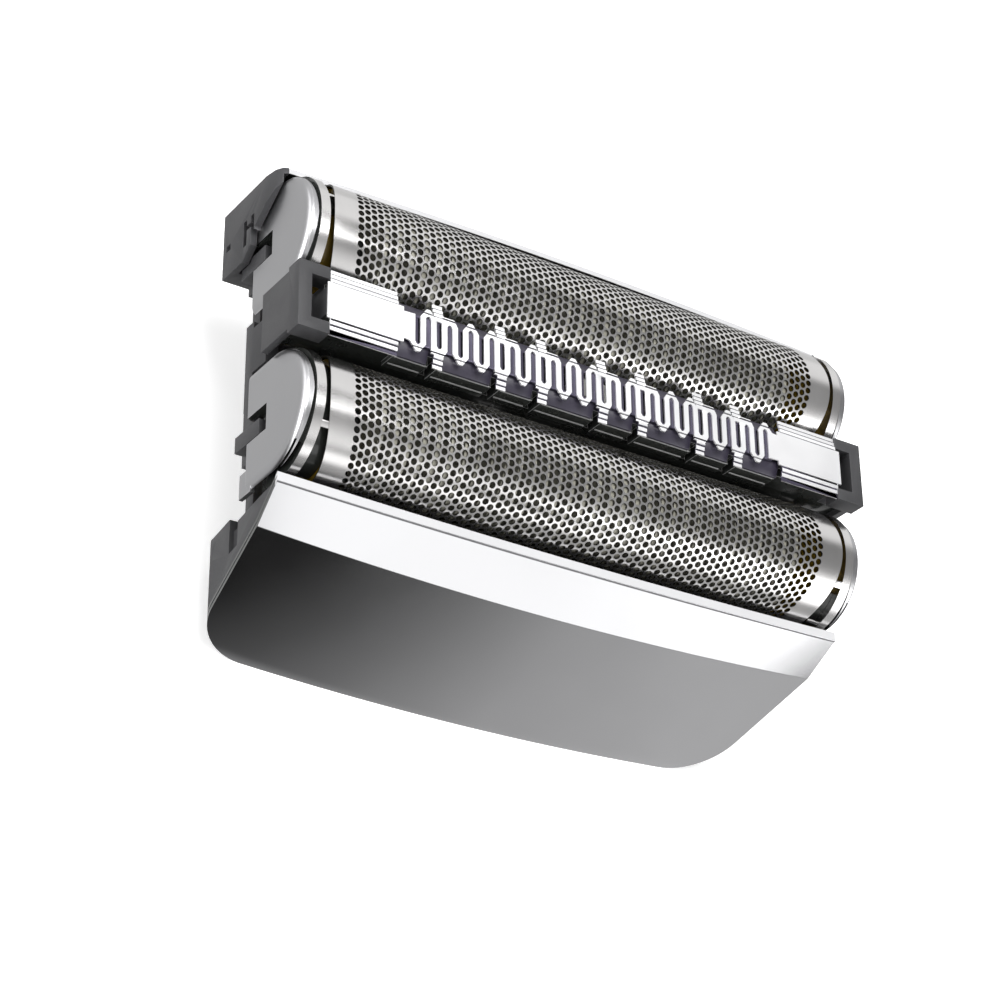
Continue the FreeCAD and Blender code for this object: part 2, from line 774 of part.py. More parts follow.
def trimmer_blade():
    """Thin moving blade under the comb, with one window per tooth."""
    plate = box(-blade_plate_half, blade_plate_half, -blade_plate_w / 2, blade_plate_w / 2,
                blade_top - blade_plate_t, blade_top)
    count = slot_count // 2
    first = -(count - 1) / 2 * tooth_pitch
    half_w = (tooth_pitch - 2 * comb_slot_w) / 2
    reach = blade_plate_w / 2 - 0.15
    windows = []
    for k in range(count):
        x = first + k * tooth_pitch
        windows.append(box(x - half_w, x + half_w, -reach, reach, blade_top - 1.0, blade_top + 1.0))
    return plate.cut(Part.makeCompound(windows))


def trimmer_bed():
    """Violet dark bed under the blade, bulging out between the tabs."""
    z0 = bed_low
    w = bed_w / 2
    wide = block_w / 2
    outline = [(-wide, z0), (wide, z0), (wide, bed_top - 0.35), (w, bed_top), (-w, bed_top), (-wide, bed_top - 0.35)]
    bed = prism_along_x(outline, -step_start + 0.1, step_start - 0.1)
    for gap in gap_boxes(tab_w / 2 + tab_clearance, z0 - 1.0, crown_z):
        bed = bed.cut(gap)
    reach = post_half + trimmer_stroke + 2 * window_gap
    return bed.cut(box(-reach, reach, -post_w / 2 - window_gap, post_w / 2 + window_gap, z0 - 1.0, crown_z))


def bracket():
    """C-shaped bracket at the left end of the trimmer: outer wall, two arms and a thin skirt."""
    top = crown_z - bracket_drop
    w = bracket_w / 2
    wall = box(-side_x, -side_x + bracket_wall, -w, w, bracket_step, top)
    skirt = box(-side_x, -side_x + bracket_skirt_t, -w + 0.3, w - 0.3, bracket_low, bracket_step)
    pieces = [wall, skirt]
    for side in (-1, 1):
        y0 = min(side * bracket_inner_w / 2, side * w)
        pieces.append(box(-side_x, -step_end, y0, y0 + w - bracket_inner_w / 2, bracket_step, top))
    return pieces


def trimmer_carrier():
    """Dark bar under the trimmer, with ridged blocks, end brackets and two snap legs."""
    w = carrier_w / 2
    wide = block_w / 2
    block_half = step_start - 0.1
    bar = box(-carrier_end, carrier_end, -w, w, carrier_low, carrier_step)
    blocks = box(-block_half, block_half, -wide, wide, carrier_step, bed_low)
    for gap in gap_boxes(tab_w / 2, carrier_step, crown_z):
        blocks = blocks.cut(gap)
    pieces = [bar, blocks]
    pad_w = comb_edge - step_t - 0.05
    left = bracket()
    left.append(box(-comb_half, -pad_start, -pad_w, pad_w, carrier_step, comb_low))
    left.append(box(-step_end, -block_half, -w, w, carrier_step, bed_low))
    left.append(mirrored_x(snap_leg(trimmer_leg_x, trimmer_leg_t, trimmer_leg_w, carrier_low)))
    left_end = fuse_all(left)
    body = fuse_all(pieces + [left_end, mirrored_x(left_end)])
    reach = post_half + trimmer_stroke + 2 * window_gap
    half_w = post_w / 2 + window_gap
    return body.cut(box(-reach, reach, -half_w, half_w, carrier_low - 1.0, crown_z))


def trimmer_slider():
    """Slider that carries the drive pin's stroke up to the trimmer blade."""
    post = box(-post_half, post_half, -post_w / 2, post_w / 2, slider_top, blade_top - blade_plate_t)
    block = box(-slider_half, slider_half, -slider_w / 2, slider_w / 2, slider_low, slider_top)
    body = post.fuse(block).removeSplitter()
    half = slider_slot_half
    w = slider_slot_w / 2
    return body.cut(box(-half, half, -w, w, slider_low - 1.0, slider_low + slider_slot_depth))


def leaf_outline(half, foot, crest, z0, z1):
    """Outline of an arched leaf spring between heights z0 and z1, as (along, z) points."""
    t = spring_t
    return [(-half, z0), (-half + foot, z0), (-crest, z1 - t), (crest, z1 - t), (half - foot, z0), (half, z0),
            (half, z0 + t), (half - foot + 0.1, z0 + t), (crest + 0.1, z1), (-crest - 0.1, z1),
            (-half + foot - 0.1, z0 + t), (-half, z0 + t)]


def unit_spring():
    """Leaf spring under the right tie of a foil frame, lying across the head."""
    outline = leaf_outline(spring_half, spring_foot, spring_crest, floor_top, rail_low)
    return prism_along_x(outline, tie_x - spring_w / 2, tie_x + spring_w / 2)


def trimmer_spring():
    """Leaf spring on the right pedestal, lying along the trimmer."""
    outline = leaf_outline(pedestal_half, 0.35, 0.5, pedestal_top, carrier_low)
    points = [V(pedestal_x + a, -spring_w / 2, z) for a, z in outline]
    return prism(points, V(0, spring_w, 0))


def save(name, shape):
    """Move a piece so that the origin lies under the middle of the head, and save it."""
    placed = shape.copy()
    placed.translate(V(0, depth_shift, 0))
    placed.exportStep("parts/" + name + ".step")
    print(name, len(placed.Solids), "solids", round(placed.Volume, 2), "mm3", placed.isValid())


def unit_pieces():
    """The pieces of the front foil unit, built about the foil's axis."""
    cap = end_cap()
    spring = unit_spring()
    return {
        "foil": foil_sheet(),
        "cap_right": cap,
        "cap_left": mirrored_x(cap),
        "foil_frame": foil_frame(),
        "cutter_carrier": cutter_carrier(),
        "cutter_blades": cutter_blades(),
        "spring_right": spring,
        "spring_left": mirrored_x(spring),
    }


def main():
    os.makedirs("parts", exist_ok=True)
    save("cassette_frame", cassette_frame())
    save("front_cover", front_cover())
    save("back_cover", back_cover())
    save("drive_collar", drive_collar())
    for name, shape in unit_pieces().items():
        front = shape.copy()
        front.translate(V(0, -axis_y, 0))
        save("front_" + name, front)
        back = mirrored_y(shape)
        back.translate(V(0, axis_y, 0))
        save("back_" + name, back)
    save("trimmer_comb", trimmer_comb())
    save("trimmer_blade", trimmer_blade())
    save("trimmer_bed", trimmer_bed())
    save("trimmer_carrier", trimmer_carrier())
    save("trimmer_slider", trimmer_slider())
    spring = trimmer_spring()
    save("trimmer_spring_right", spring)
    save("trimmer_spring_left", mirrored_x(spring))


main()
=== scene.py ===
# %% [markdown]
# This scene dresses a shaver's foil head: two perforated foils that float over sliding cutters, a comb
# trimmer between them, and silver covers around a dark cassette. The CAD model gives every place and
# size, so each visible piece is built again with fine detail at exactly the place of the solid that it
# stands for. Lengths below are in millimetres, and a helper turns them into metres at the end.

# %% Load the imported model
import json
import math

import bmesh
import bpy
from mathutils import Matrix, Vector


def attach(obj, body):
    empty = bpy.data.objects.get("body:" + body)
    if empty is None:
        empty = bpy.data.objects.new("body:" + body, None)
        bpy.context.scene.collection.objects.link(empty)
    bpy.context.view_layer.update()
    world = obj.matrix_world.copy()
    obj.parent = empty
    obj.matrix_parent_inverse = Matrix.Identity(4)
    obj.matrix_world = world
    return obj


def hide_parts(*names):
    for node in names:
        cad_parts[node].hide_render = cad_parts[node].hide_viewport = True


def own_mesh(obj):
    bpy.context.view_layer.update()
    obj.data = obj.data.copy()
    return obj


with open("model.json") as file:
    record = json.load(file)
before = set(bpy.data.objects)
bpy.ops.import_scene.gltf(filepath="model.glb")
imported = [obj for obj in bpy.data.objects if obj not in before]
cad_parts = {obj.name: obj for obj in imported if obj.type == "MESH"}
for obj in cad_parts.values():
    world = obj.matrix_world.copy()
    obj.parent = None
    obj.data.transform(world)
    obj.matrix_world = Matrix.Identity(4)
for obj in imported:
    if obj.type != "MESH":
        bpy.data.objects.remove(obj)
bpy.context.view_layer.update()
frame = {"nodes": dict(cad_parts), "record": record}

scene = bpy.context.scene
MM = 0.001

# %% [markdown]
# The photograph looks down at the left end of the head. The camera stands where straight edges of the
# real head line up with the photograph, so the render can be laid over it.

# %% Camera
camera_data = bpy.data.cameras.new("camera")
camera_data.lens = 94.83
camera_data.sensor_width = 36
camera_data.clip_start = 0.001
camera = bpy.data.objects.new("camera", camera_data)
scene.collection.objects.link(camera)
scene.camera = camera
right = Vector((0.83410, -0.01020, 0.55153))
down = Vector((0.24909, -0.88512, -0.39309))
forward = Vector((0.49218, 0.46526, -0.73573))
turn = Matrix((right, -down, -forward)).transposed()
camera.matrix_world = Matrix.Translation(Vector((-90.89, -85.91, 141.24)) * MM) @ turn.to_4x4()
print("camera looks along", tuple(round(c, 3) for c in forward))

# %% [markdown]
# Materials, the floor and the sky around the scene are all node trees. Four helpers keep them short: one
# for arithmetic, one for noise, one that turns a number into a grey step by step, like a printed grey
# scale, and one that mixes two numbers.

# %% Node helpers
def math_node(tree, operation, first, second):
    """A math node whose inputs are sockets or numbers; returns its output."""
    node = tree.nodes.new("ShaderNodeMath")
    node.operation = operation
    for slot, value in enumerate((first, second)):
        if isinstance(value, (int, float)):
            node.inputs[slot].default_value = value
        else:
            tree.links.new(value, node.inputs[slot])
    return node.outputs[0]


def noise_node(tree, vector, scale, detail):
    """A noise texture on a vector; scale is a socket or a number, per metre."""
    node = tree.nodes.new("ShaderNodeTexNoise")
    node.inputs["Detail"].default_value = detail
    tree.links.new(vector, node.inputs["Vector"])
    if isinstance(scale, (int, float)):
        node.inputs["Scale"].default_value = scale
    else:
        tree.links.new(scale, node.inputs["Scale"])
    return node.outputs["Fac"]


def grey_scale(tree, value, low, high, stops):
    """A grey ramp over value from low to high; stops are (value, grey) pairs."""
    reach = tree.nodes.new("ShaderNodeMapRange")
    reach.inputs["From Min"].default_value = low
    reach.inputs["From Max"].default_value = high
    tree.links.new(value, reach.inputs["Value"])
    ramp = tree.nodes.new("ShaderNodeValToRGB")
    for _ in stops[2:]:
        ramp.color_ramp.elements.new(0.5)
    for stop, (at, grey) in zip(ramp.color_ramp.elements, stops):
        stop.position = (at - low) / (high - low)
        stop.color = (grey, grey, grey, 1)
    tree.links.new(reach.outputs[0], ramp.inputs[0])
    return ramp.outputs[0]


def mix_value(tree, factor, first, second):
    """A number between first and second; each is a socket or a number."""
    node = tree.nodes.new("ShaderNodeMix")
    for slot, value in (("Factor", factor), ("A", first), ("B", second)):
        if isinstance(value, (int, float)):
            node.inputs[slot].default_value = value
        else:
            tree.links.new(value, node.inputs[slot])
    return node.outputs["Result"]


print("node helpers ready")

# %% [markdown]
# A small metal product is shot in a light tent on white card, with grey cards held beside it, because
# polished metal shows nothing but its surroundings. The world is that tent. It is white to the camera and
# dim to everything else, so that the lamps shape the object. For reflections it has the bands that the
# cards make: white behind, grey overhead, bright in front above, a dark card and a white strip below it,
# and a white card at the left, which draws the light line round the rims of the caps.

# %% World
LEFT_CARD = 2.6
ROOM_LIGHT = 0.45
scene.view_settings.view_transform = "Standard"
world = bpy.data.worlds.new("light_tent")
scene.world = world
world.use_nodes = True
tree = world.node_tree
background = tree.nodes["Background"]
background.inputs["Color"].default_value = (1, 1, 1, 1)
path = tree.nodes.new("ShaderNodeLightPath")
aim = tree.nodes.new("ShaderNodeSeparateXYZ")
tree.links.new(tree.nodes.new("ShaderNodeTexCoord").outputs["Generated"], aim.inputs[0])
depth_bands = grey_scale(tree, aim.outputs["Y"], -1, 1, (
    (-0.60, 1.0), (-0.44, 0.80), (-0.20, 0.36), (0.0, 0.28), (0.48, 0.24), (0.62, 1.0)))
height_bands = grey_scale(tree, aim.outputs["Z"], -1, 1, (
    (0.05, 0.30), (0.11, 1.75), (0.35, 1.75), (0.39, 0.10), (0.45, 0.13), (0.56, 1.0)))
in_front = grey_scale(tree, aim.outputs["Y"], -1, 1, ((-0.40, 1.0), (-0.15, 0.0)))
to_the_left = grey_scale(tree, aim.outputs["X"], -1, 1, ((-0.62, 1.0), (-0.40, 0.0)))
bands = math_node(tree, "MULTIPLY", depth_bands, mix_value(tree, in_front, 1.0, height_bands))
cards = math_node(tree, "MAXIMUM", bands, math_node(tree, "MULTIPLY", to_the_left, LEFT_CARD))
direct = math_node(tree, "MAXIMUM", path.outputs["Is Camera Ray"],
                   path.outputs["Is Transmission Ray"])
strength = mix_value(tree, direct, ROOM_LIGHT, 1.0)
seen = mix_value(tree, path.outputs["Is Glossy Ray"], strength, cards)
tree.links.new(seen, background.inputs["Strength"])
print("the tent has", len(tree.nodes), "nodes")

# %% [markdown]
# Three soft boxes stand around the tent: one above and behind, one at the left and one at the right. They
# are large for so small an object, so their shadows have no hard edge.

# %% Lamps
def soft_lamp(name, place, aim, size, watts):
    """A square area lamp at place that points at aim; place, aim and size are in millimetres."""
    lamp = bpy.data.lights.new(name, "AREA")
    lamp.shape = "SQUARE"
    lamp.size = size * MM
    lamp.energy = watts
    holder = bpy.data.objects.new(name, lamp)
    scene.collection.objects.link(holder)
    direction = (Vector(aim) - Vector(place)).normalized()
    holder.rotation_euler = direction.to_track_quat("-Z", "Y").to_euler()
    holder.location = Vector(place) * MM
    return holder


HEAD = (0, 0, 8)
soft_lamp("lamp_above", (-20, 60, 220), HEAD, 160, 0.55)
soft_lamp("lamp_left", (-200, -40, 90), HEAD, 120, 0.22)
soft_lamp("lamp_right", (190, -120, 110), HEAD, 140, 0.20)

# %% [markdown]
# The floor is white card. It keeps the shadow of the head, and it glows a little for the camera alone,
# so that the paper reads as white without more light on the object. The front cover leans over the floor
# and mirrors it, and the photograph shows it shaded from dark to light, so to reflections the floor has a
# grey card in front of the head that is dark at the left, and an even grey further away for the foils.

# %% Floor
def new_object(name, bm):
    """An object in metres from a bmesh in millimetres."""
    bmesh.ops.scale(bm, vec=(MM, MM, MM), verts=bm.verts)
    mesh = bpy.data.meshes.new(name)
    bm.to_mesh(mesh)
    bm.free()
    piece = bpy.data.objects.new(name, mesh)
    scene.collection.objects.link(piece)
    return piece


CARD_TURN = 0.84
FAR_GREY = 0.42
BEHIND_GREY = 0.75
GLOW = 0.50
bm = bmesh.new()
bmesh.ops.create_grid(bm, x_segments=1, y_segments=1, size=1500)
floor = new_object("floor", bm)
paper = bpy.data.materials.new("white_paper")
paper.use_nodes = True
tree = paper.node_tree
shader = tree.nodes["Principled BSDF"]
shader.inputs["Roughness"].default_value = 0.9
shader.inputs["Specular IOR Level"].default_value = 0.0
shader.inputs["Emission Color"].default_value = (1, 1, 1, 1)
path = tree.nodes.new("ShaderNodeLightPath")
place = tree.nodes.new("ShaderNodeSeparateXYZ")
tree.links.new(tree.nodes.new("ShaderNodeTexCoord").outputs["Object"], place.inputs[0])
share_of_y = math_node(tree, "MULTIPLY", place.outputs["Y"], CARD_TURN)
slant = math_node(tree, "ADD", place.outputs["X"], share_of_y)
card = grey_scale(tree, slant, -0.045, 0.015, (
    (-0.045, 0.010), (-0.038, 0.022), (-0.030, 0.11), (-0.024, 0.22), (-0.018, 0.36), (-0.0116, 0.50),
    (0.005, 0.63)))
behind = grey_scale(tree, place.outputs["Y"], -0.03, 0.0, ((-0.016, 0.0), (-0.012, 1.0)))
far = grey_scale(tree, place.outputs["Y"], -0.1, 0.0, ((-0.075, 1.0), (-0.055, 0.0)))
mirrored = mix_value(tree, behind, mix_value(tree, far, card, FAR_GREY), BEHIND_GREY)
glow = math_node(tree, "ADD", math_node(tree, "MULTIPLY", path.outputs["Is Camera Ray"], GLOW),
                 math_node(tree, "MULTIPLY", path.outputs["Is Glossy Ray"], mirrored))
tree.links.new(glow, shader.inputs["Emission Strength"])
paper_white = mix_value(tree, path.outputs["Is Glossy Ray"], 0.92, 0.0)
tree.links.new(paper_white, shader.inputs["Base Color"])
floor.data.materials.append(paper)
print("floor at z = 0")

# %% [markdown]
# Real surfaces are never one flat colour. Four small shader groups hold what several finishes share: the
# grain of a mould, the fine lines of rolled steel, the flakes in a lacquer and the wear on an edge. Each
# puts out masks and heights only, and every material feeds them its own sizes.

# %% Shader groups
def new_group(name, inputs, outputs):
    """A shader group with number inputs (label, value) and number outputs."""
    group = bpy.data.node_groups.new(name, "ShaderNodeTree")
    for label, value in inputs:
        socket = group.interface.new_socket(name=label, in_out="INPUT", socket_type="NodeSocketFloat")
        socket.default_value = value
    for label in outputs:
        group.interface.new_socket(name=label, in_out="OUTPUT", socket_type="NodeSocketFloat")
    return group, group.nodes.new("NodeGroupInput"), group.nodes.new("NodeGroupOutput")


grain, start, end = new_group("mould_grain", [("Scale", 3000.0)], ["Height", "Tone"])
place = grain.nodes.new("ShaderNodeTexCoord").outputs["Object"]
grain.links.new(noise_node(grain, place, start.outputs["Scale"], 3.0), end.inputs["Height"])
broad = math_node(grain, "MULTIPLY", start.outputs["Scale"], 0.07)
grain.links.new(noise_node(grain, place, broad, 4.0), end.inputs["Tone"])

lines, start, end = new_group("rolled_lines", [("Scale", 4000.0), ("Stretch", 0.03)], ["Height", "Tone"])
place = lines.nodes.new("ShaderNodeTexCoord").outputs["Object"]
squeeze = lines.nodes.new("ShaderNodeVectorMath")
squeeze.operation = "MULTIPLY"
factor = lines.nodes.new("ShaderNodeCombineXYZ")
factor.inputs[1].default_value = 1.0
factor.inputs[2].default_value = 1.0
lines.links.new(start.outputs["Stretch"], factor.inputs[0])
lines.links.new(place, squeeze.inputs[0])
lines.links.new(factor.outputs[0], squeeze.inputs[1])
lines.links.new(noise_node(lines, squeeze.outputs[0], start.outputs["Scale"], 2.0), end.inputs["Height"])
lines.links.new(noise_node(lines, place, 260.0, 4.0), end.inputs["Tone"])

flake, start, end = new_group("lacquer_flake", [("Scale", 9000.0)], ["Height", "Tone"])
place = flake.nodes.new("ShaderNodeTexCoord").outputs["Object"]
cells = flake.nodes.new("ShaderNodeTexVoronoi")
flake.links.new(place, cells.inputs["Vector"])
flake.links.new(start.outputs["Scale"], cells.inputs["Scale"])
split = flake.nodes.new("ShaderNodeSeparateColor")
flake.links.new(cells.outputs["Color"], split.inputs[0])
flake.links.new(split.outputs[0], end.inputs["Height"])
flake.links.new(noise_node(flake, place, 150.0, 3.0), end.inputs["Tone"])

wear, start, end = new_group("edge_wear", [("Radius", 0.0002), ("Breakup", 1500.0)], ["Mask"])
place = wear.nodes.new("ShaderNodeTexCoord").outputs["Object"]
soft = wear.nodes.new("ShaderNodeBevel")
soft.samples = 4
wear.links.new(start.outputs["Radius"], soft.inputs["Radius"])
true_normal = wear.nodes.new("ShaderNodeNewGeometry").outputs["Normal"]
match = wear.nodes.new("ShaderNodeVectorMath")
match.operation = "DOT_PRODUCT"
wear.links.new(soft.outputs["Normal"], match.inputs[0])
wear.links.new(true_normal, match.inputs[1])
edge = wear.nodes.new("ShaderNodeMapRange")
edge.inputs["From Min"].default_value = 0.99
edge.inputs["From Max"].default_value = 0.80
wear.links.new(match.outputs["Value"], edge.inputs["Value"])
patchy = wear.nodes.new("ShaderNodeMapRange")
patchy.inputs["From Min"].default_value = 0.35
patchy.inputs["From Max"].default_value = 0.60
wear.links.new(noise_node(wear, place, start.outputs["Breakup"], 3.0), patchy.inputs["Value"])
wear.links.new(math_node(wear, "MULTIPLY", edge.outputs[0], patchy.outputs[0]), end.inputs["Mask"])
print("groups:", [g.name for g in bpy.data.node_groups])

# %% [markdown]
# One function makes every finish from the same few facts: two tones that drift into each other, a range
# of roughness, how metallic it is, which surface group gives its fine relief, and how bright its edges
# have worn. The metals are tints of nickel and steel; the plastics keep a little gloss from the mould.

# %% Finishes
BUMP_DEPTH = 0.00001


def new_finish(name, tones, rough, metal=0.0, relief=None, scale=3000.0, bump=0.2, coat=0.0, worn=None,
               radius=0.0002, shine=0.5):
    """A finish named after the record's slot; tones and rough are (low, high) pairs."""
    mat = bpy.data.materials.new(name)
    mat.use_nodes = True
    tree = mat.node_tree
    shader = tree.nodes["Principled BSDF"]
    shader.inputs["Metallic"].default_value = metal
    shader.inputs["Coat Weight"].default_value = coat
    shader.inputs["Specular IOR Level"].default_value = shine
    shader.inputs["Coat Roughness"].default_value = 0.08
    surface = tree.nodes.new("ShaderNodeGroup")
    surface.node_tree = relief or grain
    surface.inputs["Scale"].default_value = scale
    tone = tree.nodes.new("ShaderNodeMix")
    tone.data_type = "RGBA"
    tone.inputs["A"].default_value = (*tones[0], 1)
    tone.inputs["B"].default_value = (*tones[1], 1)
    tree.links.new(surface.outputs["Tone"], tone.inputs["Factor"])
    colour = tone.outputs["Result"]
    if worn:
        edge = tree.nodes.new("ShaderNodeGroup")
        edge.node_tree = wear
        edge.inputs["Radius"].default_value = radius
        bare = tree.nodes.new("ShaderNodeMix")
        bare.data_type = "RGBA"
        bare.inputs["B"].default_value = (*worn, 1)
        tree.links.new(edge.outputs["Mask"], bare.inputs["Factor"])
        tree.links.new(colour, bare.inputs["A"])
        colour = bare.outputs["Result"]
    tree.links.new(colour, shader.inputs["Base Color"])
    spread = tree.nodes.new("ShaderNodeMapRange")
    spread.inputs["From Min"].default_value = 0.3
    spread.inputs["From Max"].default_value = 0.7
    spread.inputs["To Min"].default_value = rough[0]
    spread.inputs["To Max"].default_value = rough[1]
    tree.links.new(surface.outputs["Tone"], spread.inputs["Value"])
    tree.links.new(spread.outputs["Result"], shader.inputs["Roughness"])
    bumps = tree.nodes.new("ShaderNodeBump")
    bumps.inputs["Strength"].default_value = bump
    bumps.inputs["Distance"].default_value = BUMP_DEPTH
    tree.links.new(surface.outputs["Height"], bumps.inputs["Height"])
    tree.links.new(bumps.outputs["Normal"], shader.inputs["Normal"])
    return mat


print("a bump is at most", BUMP_DEPTH / MM, "mm deep")

# %% [markdown]
# The record names twelve finishes, one for each kind of surface, and four more paint light and shade onto
# details: painted shade inside the foils, a painted highlight on the rim of the covers, a painted highlight
# on edges and ridges, and a line of painted shade under the rim.

# %% Table of finishes
SLOT_FACTS = {
    "silver_lacquer": dict(
        tones=((0.54, 0.54, 0.55), (0.60, 0.60, 0.61)), rough=(0.14, 0.20), metal=1.0, relief=flake,
        scale=14000.0, bump=0.04, coat=0.2),
    "cap_silver": dict(
        tones=((0.40, 0.40, 0.41), (0.46, 0.46, 0.47)), rough=(0.28, 0.34), metal=1.0, relief=flake,
        scale=12000.0, bump=0.06, coat=0.1, worn=(0.70, 0.70, 0.71), radius=0.00012),
    "frame_plastic": dict(
        tones=((0.040, 0.040, 0.042), (0.055, 0.055, 0.058)), rough=(0.38, 0.5), scale=5000.0, bump=0.35,
        worn=(0.10, 0.10, 0.105), radius=0.0001, shine=0.2),
    "foil_steel": dict(
        tones=((0.62, 0.61, 0.605), (0.70, 0.69, 0.685)), rough=(0.18, 0.26), metal=1.0, relief=lines,
        scale=5000.0, bump=0.08),
    "comb_steel": dict(
        tones=((0.88, 0.88, 0.89), (0.93, 0.93, 0.94)), rough=(0.36, 0.42), metal=0.8, relief=lines,
        scale=6000.0, bump=0.05),
    "blade_steel": dict(
        tones=((0.27, 0.26, 0.22), (0.36, 0.35, 0.29)), rough=(0.30, 0.42), metal=0.3, relief=lines,
        scale=6000.0, bump=0.15),
    "coated_steel": dict(
        tones=((0.050, 0.044, 0.070), (0.072, 0.064, 0.098)), rough=(0.30, 0.40), metal=0.5,
        relief=lines, scale=6000.0, bump=0.12),
    "spring_steel": dict(
        tones=((0.45, 0.45, 0.46), (0.55, 0.55, 0.56)), rough=(0.25, 0.38), metal=1.0, relief=lines,
        scale=6000.0, bump=0.15),
    "amber_plastic": dict(
        tones=((0.120, 0.075, 0.007), (0.165, 0.110, 0.012)), rough=(0.20, 0.30), scale=2500.0, bump=0.1,
        coat=0.2, worn=(0.30, 0.22, 0.05), radius=0.0001),
    "violet_plastic": dict(
        tones=((0.020, 0.017, 0.029), (0.029, 0.025, 0.042)), rough=(0.35, 0.45), scale=5000.0,
        bump=0.25, worn=(0.10, 0.09, 0.12), radius=0.0001),
    "carrier_plastic": dict(
        tones=((0.018, 0.020, 0.018), (0.028, 0.030, 0.028)), rough=(0.24, 0.34), scale=5000.0,
        bump=0.12, coat=0.6, shine=0.25),
    "slider_plastic": dict(
        tones=((0.60, 0.60, 0.56), (0.68, 0.68, 0.64)), rough=(0.35, 0.45), scale=4000.0, bump=0.2),
}
FINISHES = {name: new_finish(name, **facts) for name, facts in SLOT_FACTS.items()}
# Painted shade for the underside of the foils and the walls of their holes.
painted_shade_foil_inside = new_finish("painted_shade_foil_inside", ((0.050, 0.048, 0.042), (0.075, 0.072, 0.064)), (0.35, 0.5),
                         metal=1.0, relief=lines, scale=5000.0, bump=0.05)
# A painted highlight for the top of the rims, a light plain finish where the lacquer shows a bright
# reflection.
rim_painted_highlight = new_finish("rim_painted_highlight", ((0.50, 0.50, 0.51), (0.55, 0.55, 0.56)), (0.34, 0.44),
                       relief=flake, scale=14000.0, bump=0.03)
# A painted highlight for rounded edges and ridges.
painted_edge_highlight = new_finish("painted_edge_highlight", ((0.20, 0.202, 0.20), (0.32, 0.322, 0.32)), (0.3, 0.4),
                       scale=9000.0, coat=0.4)
# Painted shade for the thin line along the outer edge of the rim.
rim_shade_grey = new_finish("rim_shade_grey", ((0.10, 0.10, 0.105), (0.13, 0.13, 0.135)), (0.4, 0.5),
                       relief=flake, bump=0.05)
slot_of = {row["node"]: row["material_slot"] for row in frame["record"]["subparts"]}
bodies = frame["record"]["behaviour"]["bodies"]
body_of = {node: body for body, members in bodies.items() for node in members}
for node, solid in frame["nodes"].items():
    solid.data.materials.clear()
    solid.data.materials.append(FINISHES[slot_of[node]])
print(len(FINISHES), "finishes on", len(slot_of), "solids")

# %% [markdown]
# Two functions make a bmesh a riding object with a finish. The first is for pieces that stand for a solid
# of the CAD model, the second for small trim that has no solid of its own.

# %% Riding pieces
SMOOTH_ANGLE = 32.0


def finish_piece(name, bm, nodes, smooth=SMOOTH_ANGLE, bevel=0.0, more=()):
    """Make a piece from a bmesh in millimetres; it replaces the solids in nodes and rides with them."""
    piece = new_object(name, bm)
    piece.data.shade_smooth()
    piece.data.set_sharp_from_angle(angle=math.radians(smooth))
    slot = slot_of[nodes[0]]
    for look in (FINISHES[slot], *more):
        piece.data.materials.append(look)
    if bevel:
        edges = piece.modifiers.new("soft_edges", "BEVEL")
        edges.width = bevel * MM
        edges.segments = 2
        edges.limit_method = "ANGLE"
        edges.angle_limit = math.radians(smooth)
        edges.harden_normals = True
    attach(piece, body_of[nodes[0]])
    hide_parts(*nodes)
    print(name, len(piece.data.polygons), "faces")
    return piece


def extra_piece(name, bm, body, slot, smooth=SMOOTH_ANGLE, more=(), finish=None):
    """Trim with no solid of its own; it rides on a body and has its slot's finish unless it gets another."""
    piece = new_object(name, bm)
    piece.data.shade_smooth()
    piece.data.set_sharp_from_angle(angle=math.radians(smooth))
    for look in (finish or FINISHES[slot], *more):
        piece.data.materials.append(look)
    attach(piece, body)
    print(name, len(piece.data.polygons), "faces")
    return piece


print("edges under", SMOOTH_ANGLE, "degrees are shaded smooth")

# %% [markdown]
# The other helpers work on shapes. One copies a solid and welds its triangles, and one rounds edges, since
# no moulded edge is ever quite sharp. A boolean cuts shapes out of a piece, as a milling cutter would.

# %% Shape helpers
def everything(bm):
    """All parts of a bmesh, for the operators that want them listed."""
    return bm.verts[:] + bm.edges[:] + bm.faces[:]


def verts_of(geom):
    """The vertices among the parts that an operator returns."""
    return [part for part in geom if isinstance(part, bmesh.types.BMVert)]


def solid_copy(node):
    """A welded copy of a solid's mesh, in millimetres, with its flat triangles joined."""
    bm = bmesh.new()
    bm.from_mesh(frame["nodes"][node].data)
    bmesh.ops.scale(bm, vec=(1 / MM, 1 / MM, 1 / MM), verts=bm.verts)
    bmesh.ops.remove_doubles(bm, verts=bm.verts, dist=0.002)
    bmesh.ops.dissolve_limit(bm, angle_limit=math.radians(1), verts=bm.verts, edges=bm.edges)
    return bm


def soften(bm, width, angle=30.0, segments=2):
    """Round every edge that is sharper than angle; returns the new faces."""
    limit = math.radians(angle)
    sharp = [e for e in bm.edges if len(e.link_faces) == 2 and e.calc_face_angle() > limit]
    return bmesh.ops.bevel(bm, geom=sharp, offset=width, offset_type="OFFSET", affect="EDGES",
                           segments=segments, profile=0.5, material=-1, clamp_overlap=True)["faces"]


